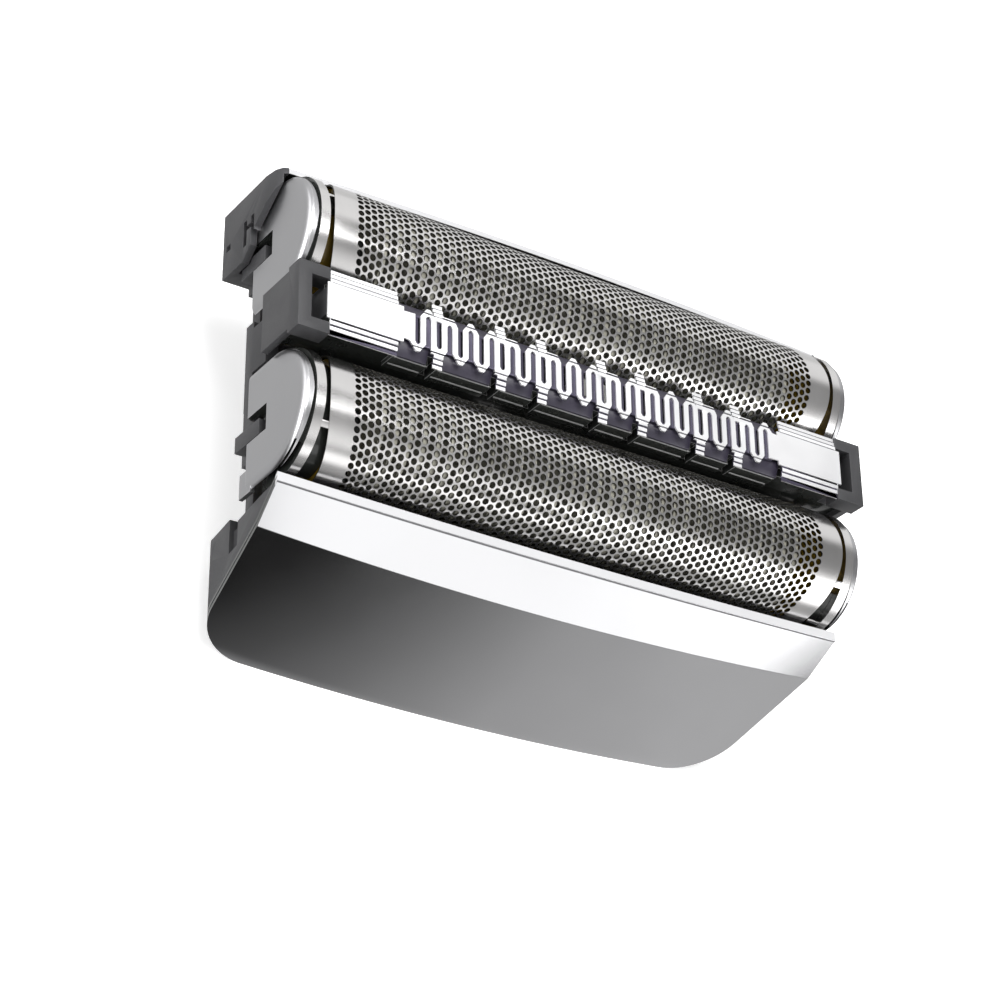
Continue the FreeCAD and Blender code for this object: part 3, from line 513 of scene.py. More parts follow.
def boolean(bm, tools, operation="DIFFERENCE"):
    """The bmesh after each tool bmesh is taken from it, joined to it or kept in common with it."""
    def holder(name, source):
        mesh = bpy.data.meshes.new(name)
        source.to_mesh(mesh)
        source.free()
        item = bpy.data.objects.new(name, mesh)
        scene.collection.objects.link(item)
        return item

    work = holder("work", bm)
    items = [holder("tool", tool) for tool in tools]
    for item in items:
        step = work.modifiers.new("step", "BOOLEAN")
        step.operation = operation
        step.solver = "EXACT"
        step.object = item
    result = bmesh.new()
    mesh = work.evaluated_get(bpy.context.evaluated_depsgraph_get()).to_mesh()
    result.from_mesh(mesh)
    for item in [work] + items:
        bpy.data.objects.remove(item)
    return result


sample = solid_copy("cassette_frame")
print("the solid of the cassette frame has", len(sample.faces), "faces")
sample.free()

# %% [markdown]
# Four short helpers make and place simple parts: a box, copies in a row, a section that is spun round the
# axis of a foil, and the choice of faces that get another finish.

# %% Simple parts
def block(x0, x1, y0, y1, z0, z1):
    """A bmesh box given by its limits."""
    bm = bmesh.new()
    bmesh.ops.create_cube(bm, size=1.0)
    bmesh.ops.scale(bm, vec=(x1 - x0, y1 - y0, z1 - z0), verts=bm.verts)
    bmesh.ops.translate(bm, vec=((x0 + x1) / 2, (y0 + y1) / 2, (z0 + z1) / 2), verts=bm.verts)
    return bm


def repeat(bm, geom, steps):
    """Copy geometry once for each offset in steps."""
    for step in steps:
        copies = bmesh.ops.duplicate(bm, geom=geom)["geom"]
        bmesh.ops.translate(bm, vec=step, verts=verts_of(copies))


def spun_section(width, height, middle, start, angle, steps):
    """A rectangle about (x, radius) middle, spun round the X axis from start by angle."""
    bm = bmesh.new()
    upright = Matrix.Rotation(math.pi / 2, 4, "X")
    bmesh.ops.create_grid(bm, x_segments=1, y_segments=1, size=0.5, matrix=upright)
    bmesh.ops.scale(bm, vec=(width, 1, height), verts=bm.verts)
    bmesh.ops.translate(bm, vec=(middle[0], 0, middle[1]), verts=bm.verts)
    bmesh.ops.rotate(bm, cent=(0, 0, 0), matrix=Matrix.Rotation(start, 3, "X"), verts=bm.verts)
    bmesh.ops.spin(bm, geom=bm.faces[:], cent=(0, 0, 0), axis=(1, 0, 0), angle=angle, steps=steps)
    return bm


def paint(bm, number, chosen):
    """Give a material number to the faces for which chosen(centre, normal) is true."""
    for face in bm.faces:
        if chosen(face.calc_center_median(), face.normal):
            face.material_index = number


MIDDLE_Y = 3.1
AXIS = {"front": -3.45, "back": 9.65}
AXIS_Z = 13.0
FOIL_R = 4.5
print("foil axes at y", AXIS)

# %% [markdown]
# A shaver foil is grown from nickel in a bath, so its many round holes sit in a perfect honeycomb. It
# could be an image with a see-through pattern, but then its holes would have no edges and the mesh would
# have no holes. Here one hexagon with a round hole is copied into a flat lattice, trimmed to size, bent
# over the cutter, and only then given its thickness.

# %% One cell of the foil
HOLE_PITCH = 0.583
HOLE_R = 0.232
HOLE_SIDES = 12
COLUMN_STEP = HOLE_PITCH * math.sqrt(3) / 2


def foil_cell(bm, open_hole):
    """A hexagon of the lattice at the origin, with its round hole or without."""
    corner = HOLE_PITCH / math.sqrt(3)
    ring = bmesh.ops.create_circle(bm, cap_ends=not open_hole, segments=6, radius=corner)["verts"]
    bmesh.ops.rotate(bm, cent=(0, 0, 0), matrix=Matrix.Rotation(math.pi / 2, 3, "Z"), verts=ring)
    sides = list({e for v in ring for e in v.link_edges})
    if not open_hole:
        disc = list({f for v in ring for f in v.link_faces})
        fan = bmesh.ops.poke(bm, faces=disc)["faces"]
        split = list({e for f in fan for e in f.edges})
        parts = bmesh.ops.subdivide_edges(bm, edges=split, cuts=1, use_grid_fill=True)
        verts = {v for f in fan for v in f.verts} | set(verts_of(parts["geom"]))
        faces = {f for v in verts for f in v.link_faces}
        return list(verts) + list({e for f in faces for e in f.edges}) + list(faces)
    bmesh.ops.subdivide_edges(bm, edges=sides, cuts=1)
    old = set(bm.verts[:])
    outer = bm.edges[:]
    bmesh.ops.create_circle(bm, segments=HOLE_SIDES, radius=HOLE_R)
    inner = [e for e in bm.edges if e.verts[0] not in old]
    bmesh.ops.bridge_loops(bm, edges=outer + inner)
    return everything(bm)


bm = bmesh.new()
foil_cell(bm, True)
print("an open cell has", len(bm.faces), "faces around a hole with", HOLE_SIDES, "sides")
bm.free()

# %% [markdown]
# The lattice of a foil has 75 columns of 25 open cells, with closed cells all round for the plain margin.
# One column is made first and then repeated, and each second column is shifted by half a pitch.

# %% Flat lattice
HOLE_COLUMNS = 75
HOLE_ROWS = 25
PLAIN = 4
FOIL_HALF = 20.67
FOIL_LEG = 2.25
FOIL_T = 0.12
END_BOW = 1.0
BOW_FROM = 8.0
BOW_RUN = 10.7


def foil_lattice():
    """The flat sheet: x along the foil, y around its arch."""
    bm = bmesh.new()
    foil_cell(bm, True)
    cell = everything(bm)
    middle = (HOLE_ROWS - 1) // 2
    repeat(bm, cell, [(0, (k - middle) * HOLE_PITCH, 0) for k in range(HOLE_ROWS) if k != middle])
    closed = foil_cell(bm, False)
    rows = middle + PLAIN
    repeat(bm, closed, [(0, k * HOLE_PITCH, 0) for k in range(-rows, rows + 1) if abs(k) > middle])
    bmesh.ops.delete(bm, geom=verts_of(closed), context="VERTS")
    column = everything(bm)
    half = (HOLE_COLUMNS - 1) // 2
    places = [k for k in range(-half, half + 1) if k]
    repeat(bm, column, [(k * COLUMN_STEP, (k % 2) * HOLE_PITCH / 2, 0) for k in places])
    closed = foil_cell(bm, False)
    ends = [k for k in range(-half - PLAIN - 1, half + PLAIN + 2) if abs(k) > half]
    spots = [(k * COLUMN_STEP, (row + (k % 2) / 2) * HOLE_PITCH, 0)
             for k in ends for row in range(-rows, rows + 1)]
    repeat(bm, closed, spots)
    bmesh.ops.delete(bm, geom=verts_of(closed), context="VERTS")
    bmesh.ops.remove_doubles(bm, verts=bm.verts, dist=0.01)
    reach = math.pi / 2 * FOIL_R + FOIL_LEG
    for point, normal in (((FOIL_HALF, 0, 0), (1, 0, 0)), ((-FOIL_HALF, 0, 0), (-1, 0, 0)),
                          ((0, reach, 0), (0, 1, 0)), ((0, -reach, 0), (0, -1, 0))):
        bmesh.ops.bisect_plane(bm, geom=everything(bm), dist=0.001, plane_co=point, plane_no=normal,
                               clear_outer=True)
    return bm


print("a foil has", HOLE_COLUMNS * HOLE_ROWS, "holes")

# %% [markdown]
# The sheet is now wrapped over its axis. Far from the crown its ends are pulled in, so that their edges look
# bowed. Solidify makes the wall, and the underside of the sheet and the faces inside the holes get a dark
# finish that is painted shade, as no bright reflections reach in there.

# %% Bent foils
def bend_foil(bm, axis_y):
    """Bend the flat sheet over the foil's axis and draw its ends in at the sides."""
    quarter = math.pi / 2 * FOIL_R
    for v in bm.verts:
        x, along = v.co.x, v.co.y
        angle = max(-math.pi / 2, min(math.pi / 2, along / FOIL_R))
        side = FOIL_R * math.sin(angle)
        leg = max(0.0, abs(along) - quarter)
        near_end = max(0.0, min(1.0, (abs(x) - BOW_FROM) / BOW_RUN))
        pull = END_BOW * (side / FOIL_R) ** 2 * near_end ** 2
        v.co = (x - math.copysign(pull, x), axis_y + side, AXIS_Z + FOIL_R * math.cos(angle) - leg)


def keep_rims_sharp(mesh):
    """Mark every open edge sharp, so the hole walls do not soften the shading of the sheet."""
    bm = bmesh.new()
    bm.from_mesh(mesh)
    for edge in bm.edges:
        edge.smooth = not edge.is_boundary
    bm.to_mesh(mesh)
    bm.free()


for unit in ("front", "back"):
    bm = foil_lattice()
    bend_foil(bm, AXIS[unit])
    bmesh.ops.recalc_face_normals(bm, faces=bm.faces)
    foil = finish_piece("foil_" + unit, bm, [unit + "_foil"], smooth=40.0)
    foil.data.materials.append(painted_shade_foil_inside)
    keep_rims_sharp(foil.data)
    wall = foil.modifiers.new("nickel_wall", "SOLIDIFY")
    wall.thickness = FOIL_T * MM
    wall.offset = -1.0
    # The underside and the hole walls get the second finish, a painted shade.
    wall.material_offset = 1
    wall.material_offset_rim = 1

# %% [markdown]
# Under each foil runs a block of thin steel lamellae. Only slivers of them show through the holes, so
# one lamella is a half ring with a straight foot, copied along the block at its real spacing.

# %% Lamellae
LAMELLA_R = 4.34
LAMELLA_INNER = 1.8
LAMELLA_T = 0.3
LAMELLA_COUNT = 33
LAMELLA_REACH = 16.65


def lamella_block(axis_y):
    """Every lamella of one cutter block."""
    bm = bmesh.new()
    corners = [bm.verts.new((-LAMELLA_T / 2, r, 0)) for r in (LAMELLA_INNER, LAMELLA_R)]
    rim = bm.edges.new(corners)
    bmesh.ops.spin(bm, geom=[rim], cent=(0, 0, 0), axis=(1, 0, 0), angle=math.pi, steps=28)
    sheet = bm.faces[:]
    thick = bmesh.ops.extrude_face_region(bm, geom=sheet)["geom"]
    bmesh.ops.translate(bm, vec=(LAMELLA_T, 0, 0), verts=verts_of(thick))
    bmesh.ops.recalc_face_normals(bm, faces=bm.faces)
    bmesh.ops.translate(bm, vec=(0, axis_y, AXIS_Z), verts=bm.verts)
    one = everything(bm)
    step = 2 * LAMELLA_REACH / (LAMELLA_COUNT - 1)
    middle = (LAMELLA_COUNT - 1) // 2
    repeat(bm, one, [((k - middle) * step, 0, 0) for k in range(LAMELLA_COUNT) if k != middle])
    return bm


for unit in ("front", "back"):
    finish_piece("lamellae_" + unit, lamella_block(AXIS[unit]), [unit + "_cutter_blades"])

# %% [markdown]
# Each end cap closes a foil like the end of a barrel: a ring that holds the foil, a groove, and a thin
# plate with a rounded rim. A lathe would turn it from one profile, so the profile is spun over the crown,
# drawn straight down as legs, and then the slit and the slot are cut out of it.

# %% Shape of an end cap
RING_X = 20.97
GROOVE_X = 21.65
PLATE_X = 22.1
FACE_X = 22.5
PLATE_R = 4.3
FLAT_R = 3.65
GROOVE_R = 4.1
PLATE_LEG = 3.0
RING_LEG = 2.3
SLIT_Y = 3.15
SLIT_END = 22.25
SLOT_HALF = 0.95
SLOT_TOP = 12.5


def cap_shell():
    """The profile of the right cap about the origin, closed below along the axis, with the rim of its plate
    rounded.
    """
    bm = bmesh.new()
    outline = [(RING_X, 0), (RING_X, FOIL_R), (GROOVE_X, FOIL_R), (GROOVE_X, GROOVE_R), (PLATE_X, GROOVE_R),
               (PLATE_X, PLATE_R), (FACE_X, PLATE_R), (FACE_X, 0)]
    verts = [bm.verts.new((x, r, 0)) for x, r in outline]
    for first, second in zip(verts, verts[1:]):
        bm.edges.new((first, second))
    bm.edges.new((verts[-1], verts[0]))
    width = FACE_X - PLATE_X - 0.01
    plate_rim = verts[6]
    rounded = bmesh.ops.bevel(bm, geom=[plate_rim], offset=width, offset_type="OFFSET", affect="VERTICES",
                              segments=8, profile=0.5, material=-1, clamp_overlap=False)["verts"]
    bmesh.ops.scale(bm, vec=(1, (PLATE_R - FLAT_R) / width, 1), verts=rounded,
                    space=Matrix.Translation((0, -PLATE_R, 0)))
    return bm


def cap_body():
    """The right cap about the origin of its foil: dome, legs, slit and slot."""
    bm = cap_shell()
    profile = bm.verts[:] + bm.edges[:]
    bmesh.ops.spin(bm, geom=profile, cent=(0, 0, 0), axis=(1, 0, 0), angle=math.pi, steps=48)
    bmesh.ops.remove_doubles(bm, verts=bm.verts, dist=0.001)
    rims = [e for e in bm.edges if e.is_boundary]
    legs = bmesh.ops.extrude_edge_only(bm, edges=rims)["geom"]
    bmesh.ops.translate(bm, vec=(0, 0, -PLATE_LEG), verts=verts_of(legs))
    bmesh.ops.remove_doubles(bm, verts=bm.verts, dist=0.001)
    bmesh.ops.holes_fill(bm, edges=[e for e in bm.edges if e.is_boundary])
    bmesh.ops.recalc_face_normals(bm, faces=bm.faces)
    wide = FOIL_R + 1
    cuts = [block(RING_X - 1, PLATE_X, -wide, wide, -PLATE_LEG - 1, -RING_LEG)]
    for side in (-1, 1):
        y0, y1 = sorted((side * SLIT_Y, side * wide))
        cuts.append(block(GROOVE_X, SLIT_END, y0, y1, -PLATE_LEG - 1, wide))
    cuts.append(block(GROOVE_X + 0.05, FACE_X + 1, -SLOT_HALF, SLOT_HALF, -PLATE_LEG - 1, SLOT_TOP - AXIS_Z))
    return boolean(bm, cuts)


def turned(bm, flip_x, flip_y, axis_y):
    """Mirror a canonical right front piece where asked and set it on its axis."""
    bmesh.ops.scale(bm, vec=(-1 if flip_x else 1, -1 if flip_y else 1, 1), verts=bm.verts)
    if flip_x != flip_y:
        bmesh.ops.reverse_faces(bm, faces=bm.faces)
    bmesh.ops.translate(bm, vec=(0, axis_y, AXIS_Z), verts=bm.verts)
    return bm


def in_groove(centre, normal):
    """True on the floor and the walls of the groove."""
    return abs(normal.x) > 0.5 or math.hypot(centre.y, max(0.0, centre.z)) < GROOVE_R + 0.03


bm = cap_shell()
print("the profile of a cap has", len(bm.verts), "points")
bm.free()

# %% [markdown]
# The inside of the groove is painted near black, a painted shade, and a silver web fills it behind the crown
# of the plate. It is widest at the crown and runs out at both sides. The four caps are one shape, mirrored
# for the left end and the back.

# %% Groove webs and all caps
WEB_ANGLE = math.radians(78)
WEB_EDGE = 0.04
WEB_GROWTH = 0.80


def groove_web():
    """A wedge in the groove behind the plate that is widest at the crown and runs out at both sides."""
    middle = ((GROOVE_X + PLATE_X) / 2, (PLATE_R + GROOVE_R) / 2 - 0.01)
    bm = spun_section(PLATE_X - GROOVE_X, PLATE_R - GROOVE_R, middle, -WEB_ANGLE, 2 * WEB_ANGLE, 32)
    for v in bm.verts:
        if v.co.x < PLATE_X - 0.01:
            share = 1 - abs(math.atan2(v.co.y, v.co.z)) / WEB_ANGLE
            v.co.x = PLATE_X - (PLATE_X - GROOVE_X) * (WEB_EDGE + WEB_GROWTH * share)
    bmesh.ops.recalc_face_normals(bm, faces=bm.faces)
    return bm


FOOT = (PLATE_X, FACE_X - 0.1, -FOIL_R, -FOIL_R + 1.75, -PLATE_LEG - 1.0, -PLATE_LEG + 0.5)
for unit in ("front", "back"):
    for end in ("left", "right"):
        body = boolean(cap_body(), [block(*FOOT)], "UNION")
        # Painted shade on the floor and the walls of the groove; the ring gets the foil steel.
        paint(body, 1, lambda c, n: GROOVE_X - 0.01 < c.x < SLIT_END + 0.01 and in_groove(c, n))
        paint(body, 2, lambda c, n: c.x < GROOVE_X - 0.01)
        cap = turned(body, end == "left", unit == "back", AXIS[unit])
        finish_piece("cap_" + unit + "_" + end, cap, [unit + "_cap_" + end], bevel=0.05,
                     more=(FINISHES["carrier_plastic"], FINISHES["foil_steel"]))
        web = turned(groove_web(), end == "left", unit == "back", AXIS[unit])
        extra_piece("cap_web_" + unit + "_" + end, web, unit + "_foil_unit", "cap_silver")

# %% [markdown]
# The front cover is a long lacquered panel with a soft crease, a slight bow and two well rounded lower
# corners. A press would bend it and a router would round its corners. A grid with three rows gives the
# crease and the bow, and a tool with the shape of a router's cut takes off each corner.

# %% Sheets and corners
RIM_Z = 14.1
CREASE_Z = 11.17
RIM_HALF = 22.4
RIM_Y = -8.75
RIM_BOW = 0.3
PANEL_ROWS = ((RIM_Z, RIM_HALF, RIM_Y, RIM_BOW), (CREASE_Z, 22.15, -10.65, 0.8), (0.0, 20.86, -14.35, 0.8))
PANEL_COLUMNS = 96
CORNER_R = 4.2


def bowed_sheet(rows, columns):
    """A sheet with one row of points per (z, half length, y at the ends, bow towards -Y)."""
    bm = bmesh.new()
    bmesh.ops.create_grid(bm, x_segments=columns, y_segments=len(rows) - 1, size=1.0)
    for v in bm.verts:
        z, half, y, bow = rows[round((1 - v.co.y) / 2 * (len(rows) - 1))]
        v.co = (v.co.x * half, y - bow * (1 - v.co.x ** 2), z)
    return bm


def corner_tool(side, inset):
    """What a router takes off one lower corner of the panel, or of a layer that lies inset behind it."""
    lean = math.atan2(PANEL_ROWS[1][1] - PANEL_ROWS[2][1], CREASE_Z)
    reach = CORNER_R * (1 - math.sin(lean)) / math.cos(lean)
    centre = Vector((PANEL_ROWS[2][1] - reach - inset, -30, CORNER_R + inset))
    bm = bmesh.new()
    low = bm.verts.new(centre + Vector((0, 0, -CORNER_R)))
    bmesh.ops.spin(bm, geom=[low], cent=centre, axis=(0, -1, 0), angle=math.pi / 2 - lean, steps=24)
    bm.verts.ensure_lookup_table()
    last = bm.verts[-1]
    far = bm.verts.new(last.co + Vector((3, 0, 0)))
    under = bm.verts.new((far.co.x, centre.y, -1))
    first = bm.verts.new((centre.x, centre.y, -1))
    for a, b in ((last, far), (far, under), (under, first), (first, low)):
        bm.edges.new((a, b))
    bmesh.ops.contextual_create(bm, geom=bm.edges[:])
    swept = bmesh.ops.extrude_face_region(bm, geom=bm.faces[:])["geom"]
    bmesh.ops.translate(bm, vec=(0, 40, 0), verts=verts_of(swept))
    if side < 0:
        bmesh.ops.scale(bm, vec=(-1, 1, 1), verts=bm.verts)
    bmesh.ops.recalc_face_normals(bm, faces=bm.faces)
    return bm


def wall_from_sheet(bm, thickness, inward):
    """Give a sheet a wall on the side towards inward (+1 or -1 along Y)."""
    outer = bm.faces[:]
    bmesh.ops.recalc_face_normals(bm, faces=outer)
    if sum(f.normal.y for f in outer) * inward > 0:
        bmesh.ops.reverse_faces(bm, faces=outer)
    bmesh.ops.solidify(bm, geom=bm.faces[:], thickness=thickness)
    bmesh.ops.recalc_face_normals(bm, faces=bm.faces)
    return bm


print("the panel comes forward by", round(PANEL_ROWS[0][2] - PANEL_ROWS[2][2], 2), "mm from rim to foot")

# %% [markdown]
# Seen from its edge the cover is a stack: the silver panel, a dark joint behind it, and a grey liner on the
# inside. The joint is a near-black layer of painted shade where a shadowed gap shows, the ends of the layers
# are painted near black as painted shade too, and a painted highlight lies along the top. Each layer is the
# same sheet, set back by its depth in the stack.

# %% Front cover
RIM_DEPTH = 0.35
RIM_T = 0.62
FOOT_LEAN = 0.33


def panel_layer(depth, inset, thickness):
    """One layer of the front cover: depth behind its face, inset at its edges."""
    rises = (-inset, 0.0, inset)
    leans = (0.0, 0.0, inset * FOOT_LEAN)
    rows = [(z + rise, half - inset, y + depth + lean, bow)
            for (z, half, y, bow), rise, lean in zip(PANEL_ROWS, rises, leans)]
    layer = wall_from_sheet(bowed_sheet(rows, PANEL_COLUMNS), thickness, 1)
    below = block(-25, 25, -20, 0, -2, inset)
    return boolean(layer, [corner_tool(-1, inset), corner_tool(1, inset), below])


def paint_rim_light_and_shade(bm):
    """Painted highlight on the top along the rim, near-black painted shade on the ends below it."""
    foot = RIM_Z - RIM_DEPTH
    bmesh.ops.bisect_plane(bm, geom=everything(bm), plane_co=(0, 0, foot), plane_no=(0, 0, 1))
    paint(bm, 1, lambda c, n: abs(n.x) > 0.5)
    paint(bm, 2, lambda c, n: c.z > foot and (abs(n.x) > 0.5 or n.z > 0.7))
    return bm


PANEL_T = 0.3
SHADE_JOINT_T = 0.12
LINER_T = 0.2
# Extra finishes: near-black painted shade for the ends, and the painted highlight for the top.
ends = (FINISHES["carrier_plastic"], rim_painted_highlight)
panel = paint_rim_light_and_shade(panel_layer(0.0, 0.0, PANEL_T))
finish_piece("front_panel", panel, ["front_cover"], smooth=11.0, bevel=0.04, more=ends)
# The joint is a near-black layer of painted shade for the shadowed gap behind the panel.
joint = paint_rim_light_and_shade(panel_layer(PANEL_T, 0.03, SHADE_JOINT_T))
extra_piece("panel_shade_joint", joint, "cassette", "carrier_plastic", more=ends)
liner = paint_rim_light_and_shade(panel_layer(PANEL_T + SHADE_JOINT_T, 0.0, LINER_T))
# The liner's upper inner face gets the same painted highlight.
paint(liner, 2, lambda c, n: c.z > CREASE_Z and n.y > 0.3)
extra_piece("panel_liner", liner, "cassette", "frame_plastic", more=ends)
# The top of the rim is a thin sheet with the painted highlight.
top_rows = [(RIM_Z, RIM_HALF, RIM_Y + RIM_T, RIM_BOW), (RIM_Z, RIM_HALF, RIM_Y, RIM_BOW)]
top = bowed_sheet(top_rows, PANEL_COLUMNS)
bmesh.ops.recalc_face_normals(top, faces=top.faces)
if top.faces[:][0].normal.z < 0:
    bmesh.ops.reverse_faces(top, faces=top.faces)
bmesh.ops.solidify(top, geom=top.faces[:], thickness=0.06)
bmesh.ops.recalc_face_normals(top, faces=top.faces)
extra_piece("rim_top", top, "cassette", "silver_lacquer", finish=rim_painted_highlight)
# %% [markdown]
# The back cover is a plain upright wall with a slight bow. It is made facing the front and then mirrored, so
# that one function serves both covers. Its top edge gets the same painted highlight as that of the front.

# %% Back cover
BACK_Y = MIDDLE_Y + 11.545
BACK_T = 0.42
BACK_ROWS = ((RIM_Z, 22.3, -BACK_Y, 0.5), (6.65, 22.3, -BACK_Y, 0.5))
rim = wall_from_sheet(bowed_sheet(BACK_ROWS, 64), BACK_T, 1)
bmesh.ops.scale(rim, vec=(1, -1, 1), verts=rim.verts)
bmesh.ops.reverse_faces(rim, faces=rim.faces)
# The top of the back rim gets the painted highlight too.
paint(rim, 1, lambda c, n: n.z > 0.7)
finish_piece("back_rim", rim, ["back_cover"], smooth=30.0, bevel=0.06, more=(rim_painted_highlight,))

# %% [markdown]
# A thin dark line of painted shade runs along the upper facet just under the rim, where the outer edge of
# the rim looks dark. It is cut from a copy of the facet by two level planes, so that it follows the bow, and
# it gets a hair of thickness to lie on the face.

# %% Rim line
LINE_DROP = 0.03
LINE_W = 0.09


def rim_shade_line(drop, width):
    """A strip of the upper facet that starts drop below the rim."""
    bm = bowed_sheet(PANEL_ROWS[:2], PANEL_COLUMNS)
    for depth, sign in ((drop, 1), (drop + width, -1)):
        spot = (-RIM_HALF, 0, RIM_Z - depth)
        bmesh.ops.bisect_plane(bm, geom=everything(bm), plane_co=spot, plane_no=(0, 0, sign),
                               clear_outer=True)
    bm = wall_from_sheet(bm, 0.02, 1)
    bmesh.ops.translate(bm, vec=(0, -0.012, 0), verts=bm.verts)
    return bm


# The line is painted shade along the rim's outer edge.
extra_piece("rim_shade_line", rim_shade_line(LINE_DROP, LINE_W), "cassette", "frame_plastic", finish=rim_shade_grey)

# %% [markdown]
# Between each foil and the rings of its caps a gap stays open. Most of it lies in shade, so a near-black
# sleeve of painted shade lies in it, and the amber frame shows where the sleeve stops. A sleeve is a flat
# section that is spun round the arch. Small steel tabs bridge the gap at the angles where the photograph
# shows them.

# %% Shade sleeves and bridge tabs
SLEEVE_W = 1.35
SLEEVE_T = 0.45
SLEEVE_X = 20.275
SLEEVE_R = 3.7
TAB_FROM = 19.9
TAB_TO = 21.0
SHADE_SLEEVES = (("front", "left", -90, 90), ("back", "left", -90, -12), ("front", "right", 44, 90),
         ("back", "right", -90, -20))
TABS = (("front", "left", 29, 0.45), ("back", "left", -22, 0.22), ("front", "right", 33, 0.5),
        ("front", "right", 76, 0.3))


def on_arch(bm, end, unit):
    """Move a piece made at the right end about the origin to its end and its foil."""
    if end == "left":
        bmesh.ops.scale(bm, vec=(-1, 1, 1), verts=bm.verts)
        bmesh.ops.reverse_faces(bm, faces=bm.faces)
    bmesh.ops.translate(bm, vec=(0, AXIS[unit], AXIS_Z), verts=bm.verts)
    return bm


def gap_shade_sleeve(first, last):
    """A sleeve of painted shade between two angles from the crown, in degrees that grow towards the front.
    """
    bm = spun_section(SLEEVE_W, SLEEVE_T, (SLEEVE_X, SLEEVE_R), math.radians(first), math.radians(last - first), 24)
    bmesh.ops.recalc_face_normals(bm, faces=bm.faces)
    return bm


def bridge_tab(angle, width):
    """A small plate on the arch at an angle from the crown, from the foil's edge to the ring."""
    bm = block(TAB_FROM, TAB_TO, -width / 2, width / 2, FOIL_R - 0.14, FOIL_R - 0.02)
    soften(bm, 0.03)
    bmesh.ops.rotate(bm, cent=(0, 0, 0), matrix=Matrix.Rotation(math.radians(angle), 3, "X"), verts=bm.verts)
    return bm


# Each sleeve is near-black painted shade in the gap.
for unit, end, first, last in SHADE_SLEEVES:
    sleeve = on_arch(gap_shade_sleeve(first, last), end, unit)
    extra_piece("gap_shade_sleeve_" + unit + "_" + end, sleeve, unit + "_foil_unit", "carrier_plastic")
for number, (unit, end, angle, width) in enumerate(TABS, start=1):
    tab = on_arch(bridge_tab(angle, width), end, unit)
    extra_piece("bridge_tab_" + str(number), tab, unit + "_foil_unit", "foil_steel")

# %% [markdown]
# The remaining plastic and steel pieces have the right shape in the CAD model already. They are copied and
# every edge gets the small radius that a mould or a stamping leaves. The cutter carriers' upper faces are
# painted near black, a painted shade for the dark space under the foils, or else they would shine through
# the holes.

# %% Moulded and stamped copies
SOFT_EDGES = {
    "cassette_frame": 0.10, "drive_collar": 0.15, "trimmer_blade": 0.02,
    "trimmer_bed": 0.06, "trimmer_slider": 0.08,
    "front_foil_frame": 0.05, "back_foil_frame": 0.05,
    "front_cutter_carrier": 0.08, "back_cutter_carrier": 0.08,
}
SHADE_PAINT_FROM = 9.5
for node, width in SOFT_EDGES.items():
    bm = solid_copy(node)
    soften(bm, width)
    # Painted shade on the upper faces of the cutter carriers.
    if node.endswith("cutter_carrier"):
        paint(bm, 1, lambda c, n: c.z > SHADE_PAINT_FROM)
    finish_piece(node + "_soft", bm, [node], more=(FINISHES["carrier_plastic"],))

# %% [markdown]
# The trimmer's carrier is nearly black, its rounded edges are painted lighter as a painted highlight, and
# its two end brackets are grey like the cassette. So its rounded edges and its ends have finishes of their
# own.

# %% Trimmer carrier
BRACKET_X = 20.8
bm = solid_copy("trimmer_carrier")
# The rounded edges get a painted highlight, and the brackets the cassette's finish.
for face in soften(bm, 0.08):
    face.material_index = 1
paint(bm, 2, lambda c, n: abs(c.x) > BRACKET_X)
finish_piece("trimmer_carrier_soft", bm, ["trimmer_carrier"], more=(painted_edge_highlight, FINISHES["frame_plastic"]))

# %% [markdown]
# Each dark block under the comb has two ridges along both of its long faces, painted lighter than the rest
# as painted highlights. A thin rod that is sunk into the face leaves just such a rounded ridge.

# %% Ridges of the blocks
BLOCKS = ((-15.65, -13.01), (-12.37, -8.1), (-7.46, -4.82), (-4.18, 0.09), (0.73, 3.37), (4.01, 8.28),
          (8.92, 11.56), (12.2, 15.65))
BLOCK_HALF_W = 2.006
BLOCK_MARGIN = 0.15
RIDGES = ((16.54, 0.06), (15.63, 0.085))
SUNK = 0.4


def ridge(x0, x1, y, z, radius):
    """A rod along x with a round section."""
    bm = bmesh.new()
    place = Matrix.Translation(((x0 + x1) / 2, y, z)) @ Matrix.Rotation(math.pi / 2, 4, "Y")
    bmesh.ops.create_cone(bm, cap_ends=True, segments=10, radius1=radius, radius2=radius, depth=x1 - x0,
                          matrix=place)
    return bm


def gather(parts):
    """One bmesh from many."""
    whole = bmesh.new()
    for part in parts:
        mesh = bpy.data.meshes.new("part")
        part.to_mesh(mesh)
        part.free()
        whole.from_mesh(mesh)
        bpy.data.meshes.remove(mesh)
    return whole


rods = [ridge(x0 + BLOCK_MARGIN, x1 - BLOCK_MARGIN,
              MIDDLE_Y + side * (BLOCK_HALF_W - radius * SUNK), z, radius)
        for x0, x1 in BLOCKS for side in (-1, 1) for z, radius in RIDGES]
# The ridges carry the painted highlight.
extra_piece("block_highlight_ridges", gather(rods), "trimmer", "carrier_plastic", smooth=50.0, finish=painted_edge_highlight)

# %% [markdown]
# A leaf spring holds up each end of a foil and of the trimmer. It is a bent strip that flattens when the
# head is pressed; here each is a softened copy of its solid with a mesh of its own.

# %% Leaf springs
FLOATS = (("front", "front_foil_float"), ("back", "back_foil_float"), ("trimmer", "trimmer_float"))
for unit, joint in FLOATS:
    for end in ("left", "right"):
        node = unit + "_spring_" + end
        bm = solid_copy(node)
        soften(bm, 0.03, angle=40.0)
        spring = finish_piece(node + "_soft", bm, [node])
        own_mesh(spring)

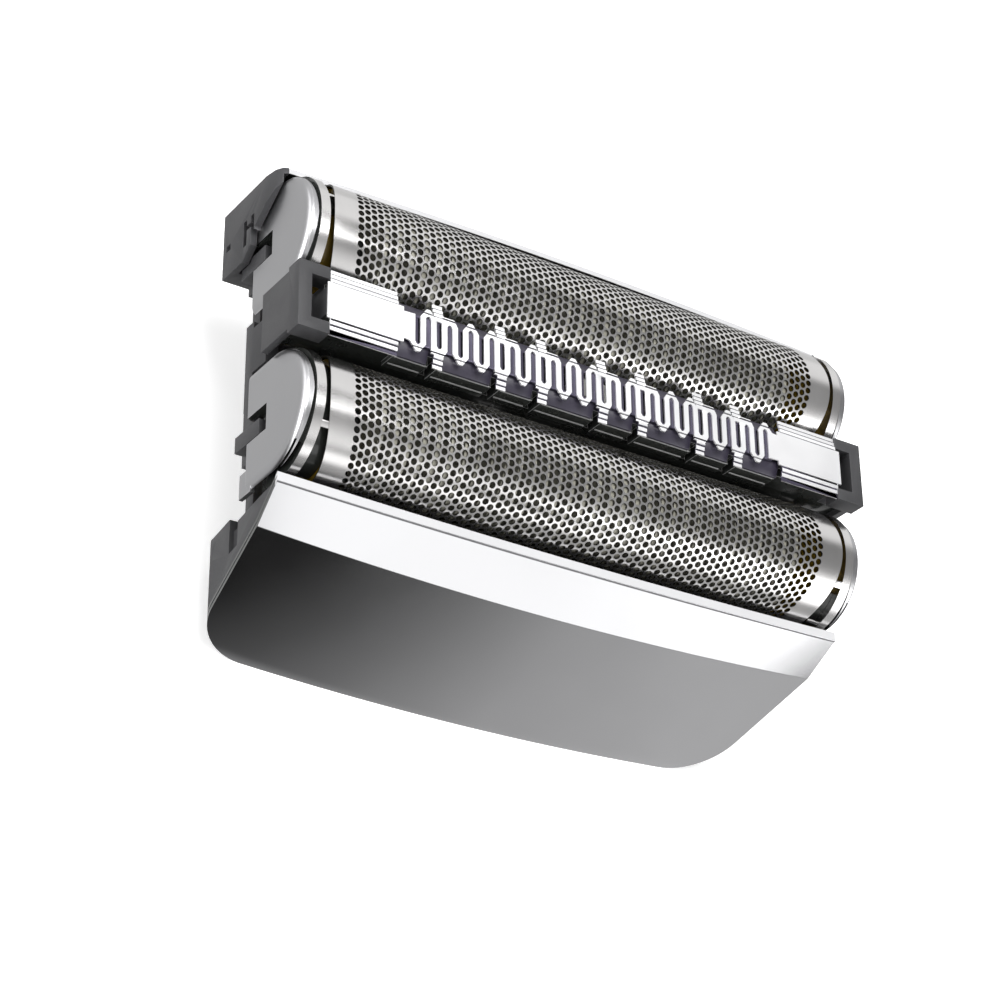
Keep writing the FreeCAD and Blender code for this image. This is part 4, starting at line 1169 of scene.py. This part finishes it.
# %% [markdown]
# The comb is stamped from thin steel, and its stepped edges are coined: a narrow groove marks the foot of
# each step. The grooves are cut with thin bars along the whole comb, so they line up across the tabs, and
# their floors get the dark coated finish as painted shade. The ribbon first gets a little wider than its
# solid, to match the width that the photograph shows.

# %% Comb
CROWN_Z = 17.5
STEP_EDGE = 1.32
STEP_RUN = 0.36
STEP_RISE = 0.09
RIBBON_GROWTH = 0.045
RIBBON_REACH = 15.0
GROOVE_W = 0.12
GROOVE_REACH = 20.75


def thicken_ribbon(bm, amount, reach):
    """Move the upright walls between -reach and reach outwards, which makes the ribbon wider."""
    shifts = []
    for v in bm.verts:
        sides = []
        for face in v.link_faces:
            heights = [c.co.z for c in face.verts]
            if abs(face.normal.z) < 0.3 and max(heights) - min(heights) > 0.12:
                if all(face.normal.dot(other) < 0.999 for other in sides):
                    sides.append(face.normal.copy())
        if sides and abs(v.co.x) < reach:
            bend = sides[0].dot(sides[-1]) if len(sides) > 1 else 0.0
            total = sum(sides[:2], Vector())
            shifts.append((v, total * amount / (1.0 + max(bend, -0.5))))
    for v, shift in shifts:
        v.co += shift


comb = solid_copy("trimmer_comb")
thicken_ribbon(comb, RIBBON_GROWTH, RIBBON_REACH)
print("the ribbon is", 2 * RIBBON_GROWTH, "mm wider than its solid")
grooves = []
shaded_groove_floors = []
for side in (-1, 1):
    for step in range(3):
        y = MIDDLE_Y + side * (STEP_EDGE + step * STEP_RUN)
        foot = CROWN_Z - (step + 1) * STEP_RISE
        y0, y1 = sorted((y, y + side * GROOVE_W))
        grooves.append(block(-GROOVE_REACH, GROOVE_REACH, y0, y1, foot - 0.05, foot + 0.2))
        shaded_groove_floors.append((y0 - 0.002, y1 + 0.002, foot - 0.06, foot + 0.001))
comb = boolean(comb, grooves)
# Painted shade on the floors of the grooves.
paint(comb, 1, lambda c, n: any(y0 < c.y < y1 and z0 < c.z < z1 for y0, y1, z0, z1 in shaded_groove_floors))
soften(comb, 0.015, angle=50.0, segments=1)
finish_piece("trimmer_comb_soft", comb, ["trimmer_comb"], more=(FINISHES["coated_steel"],))
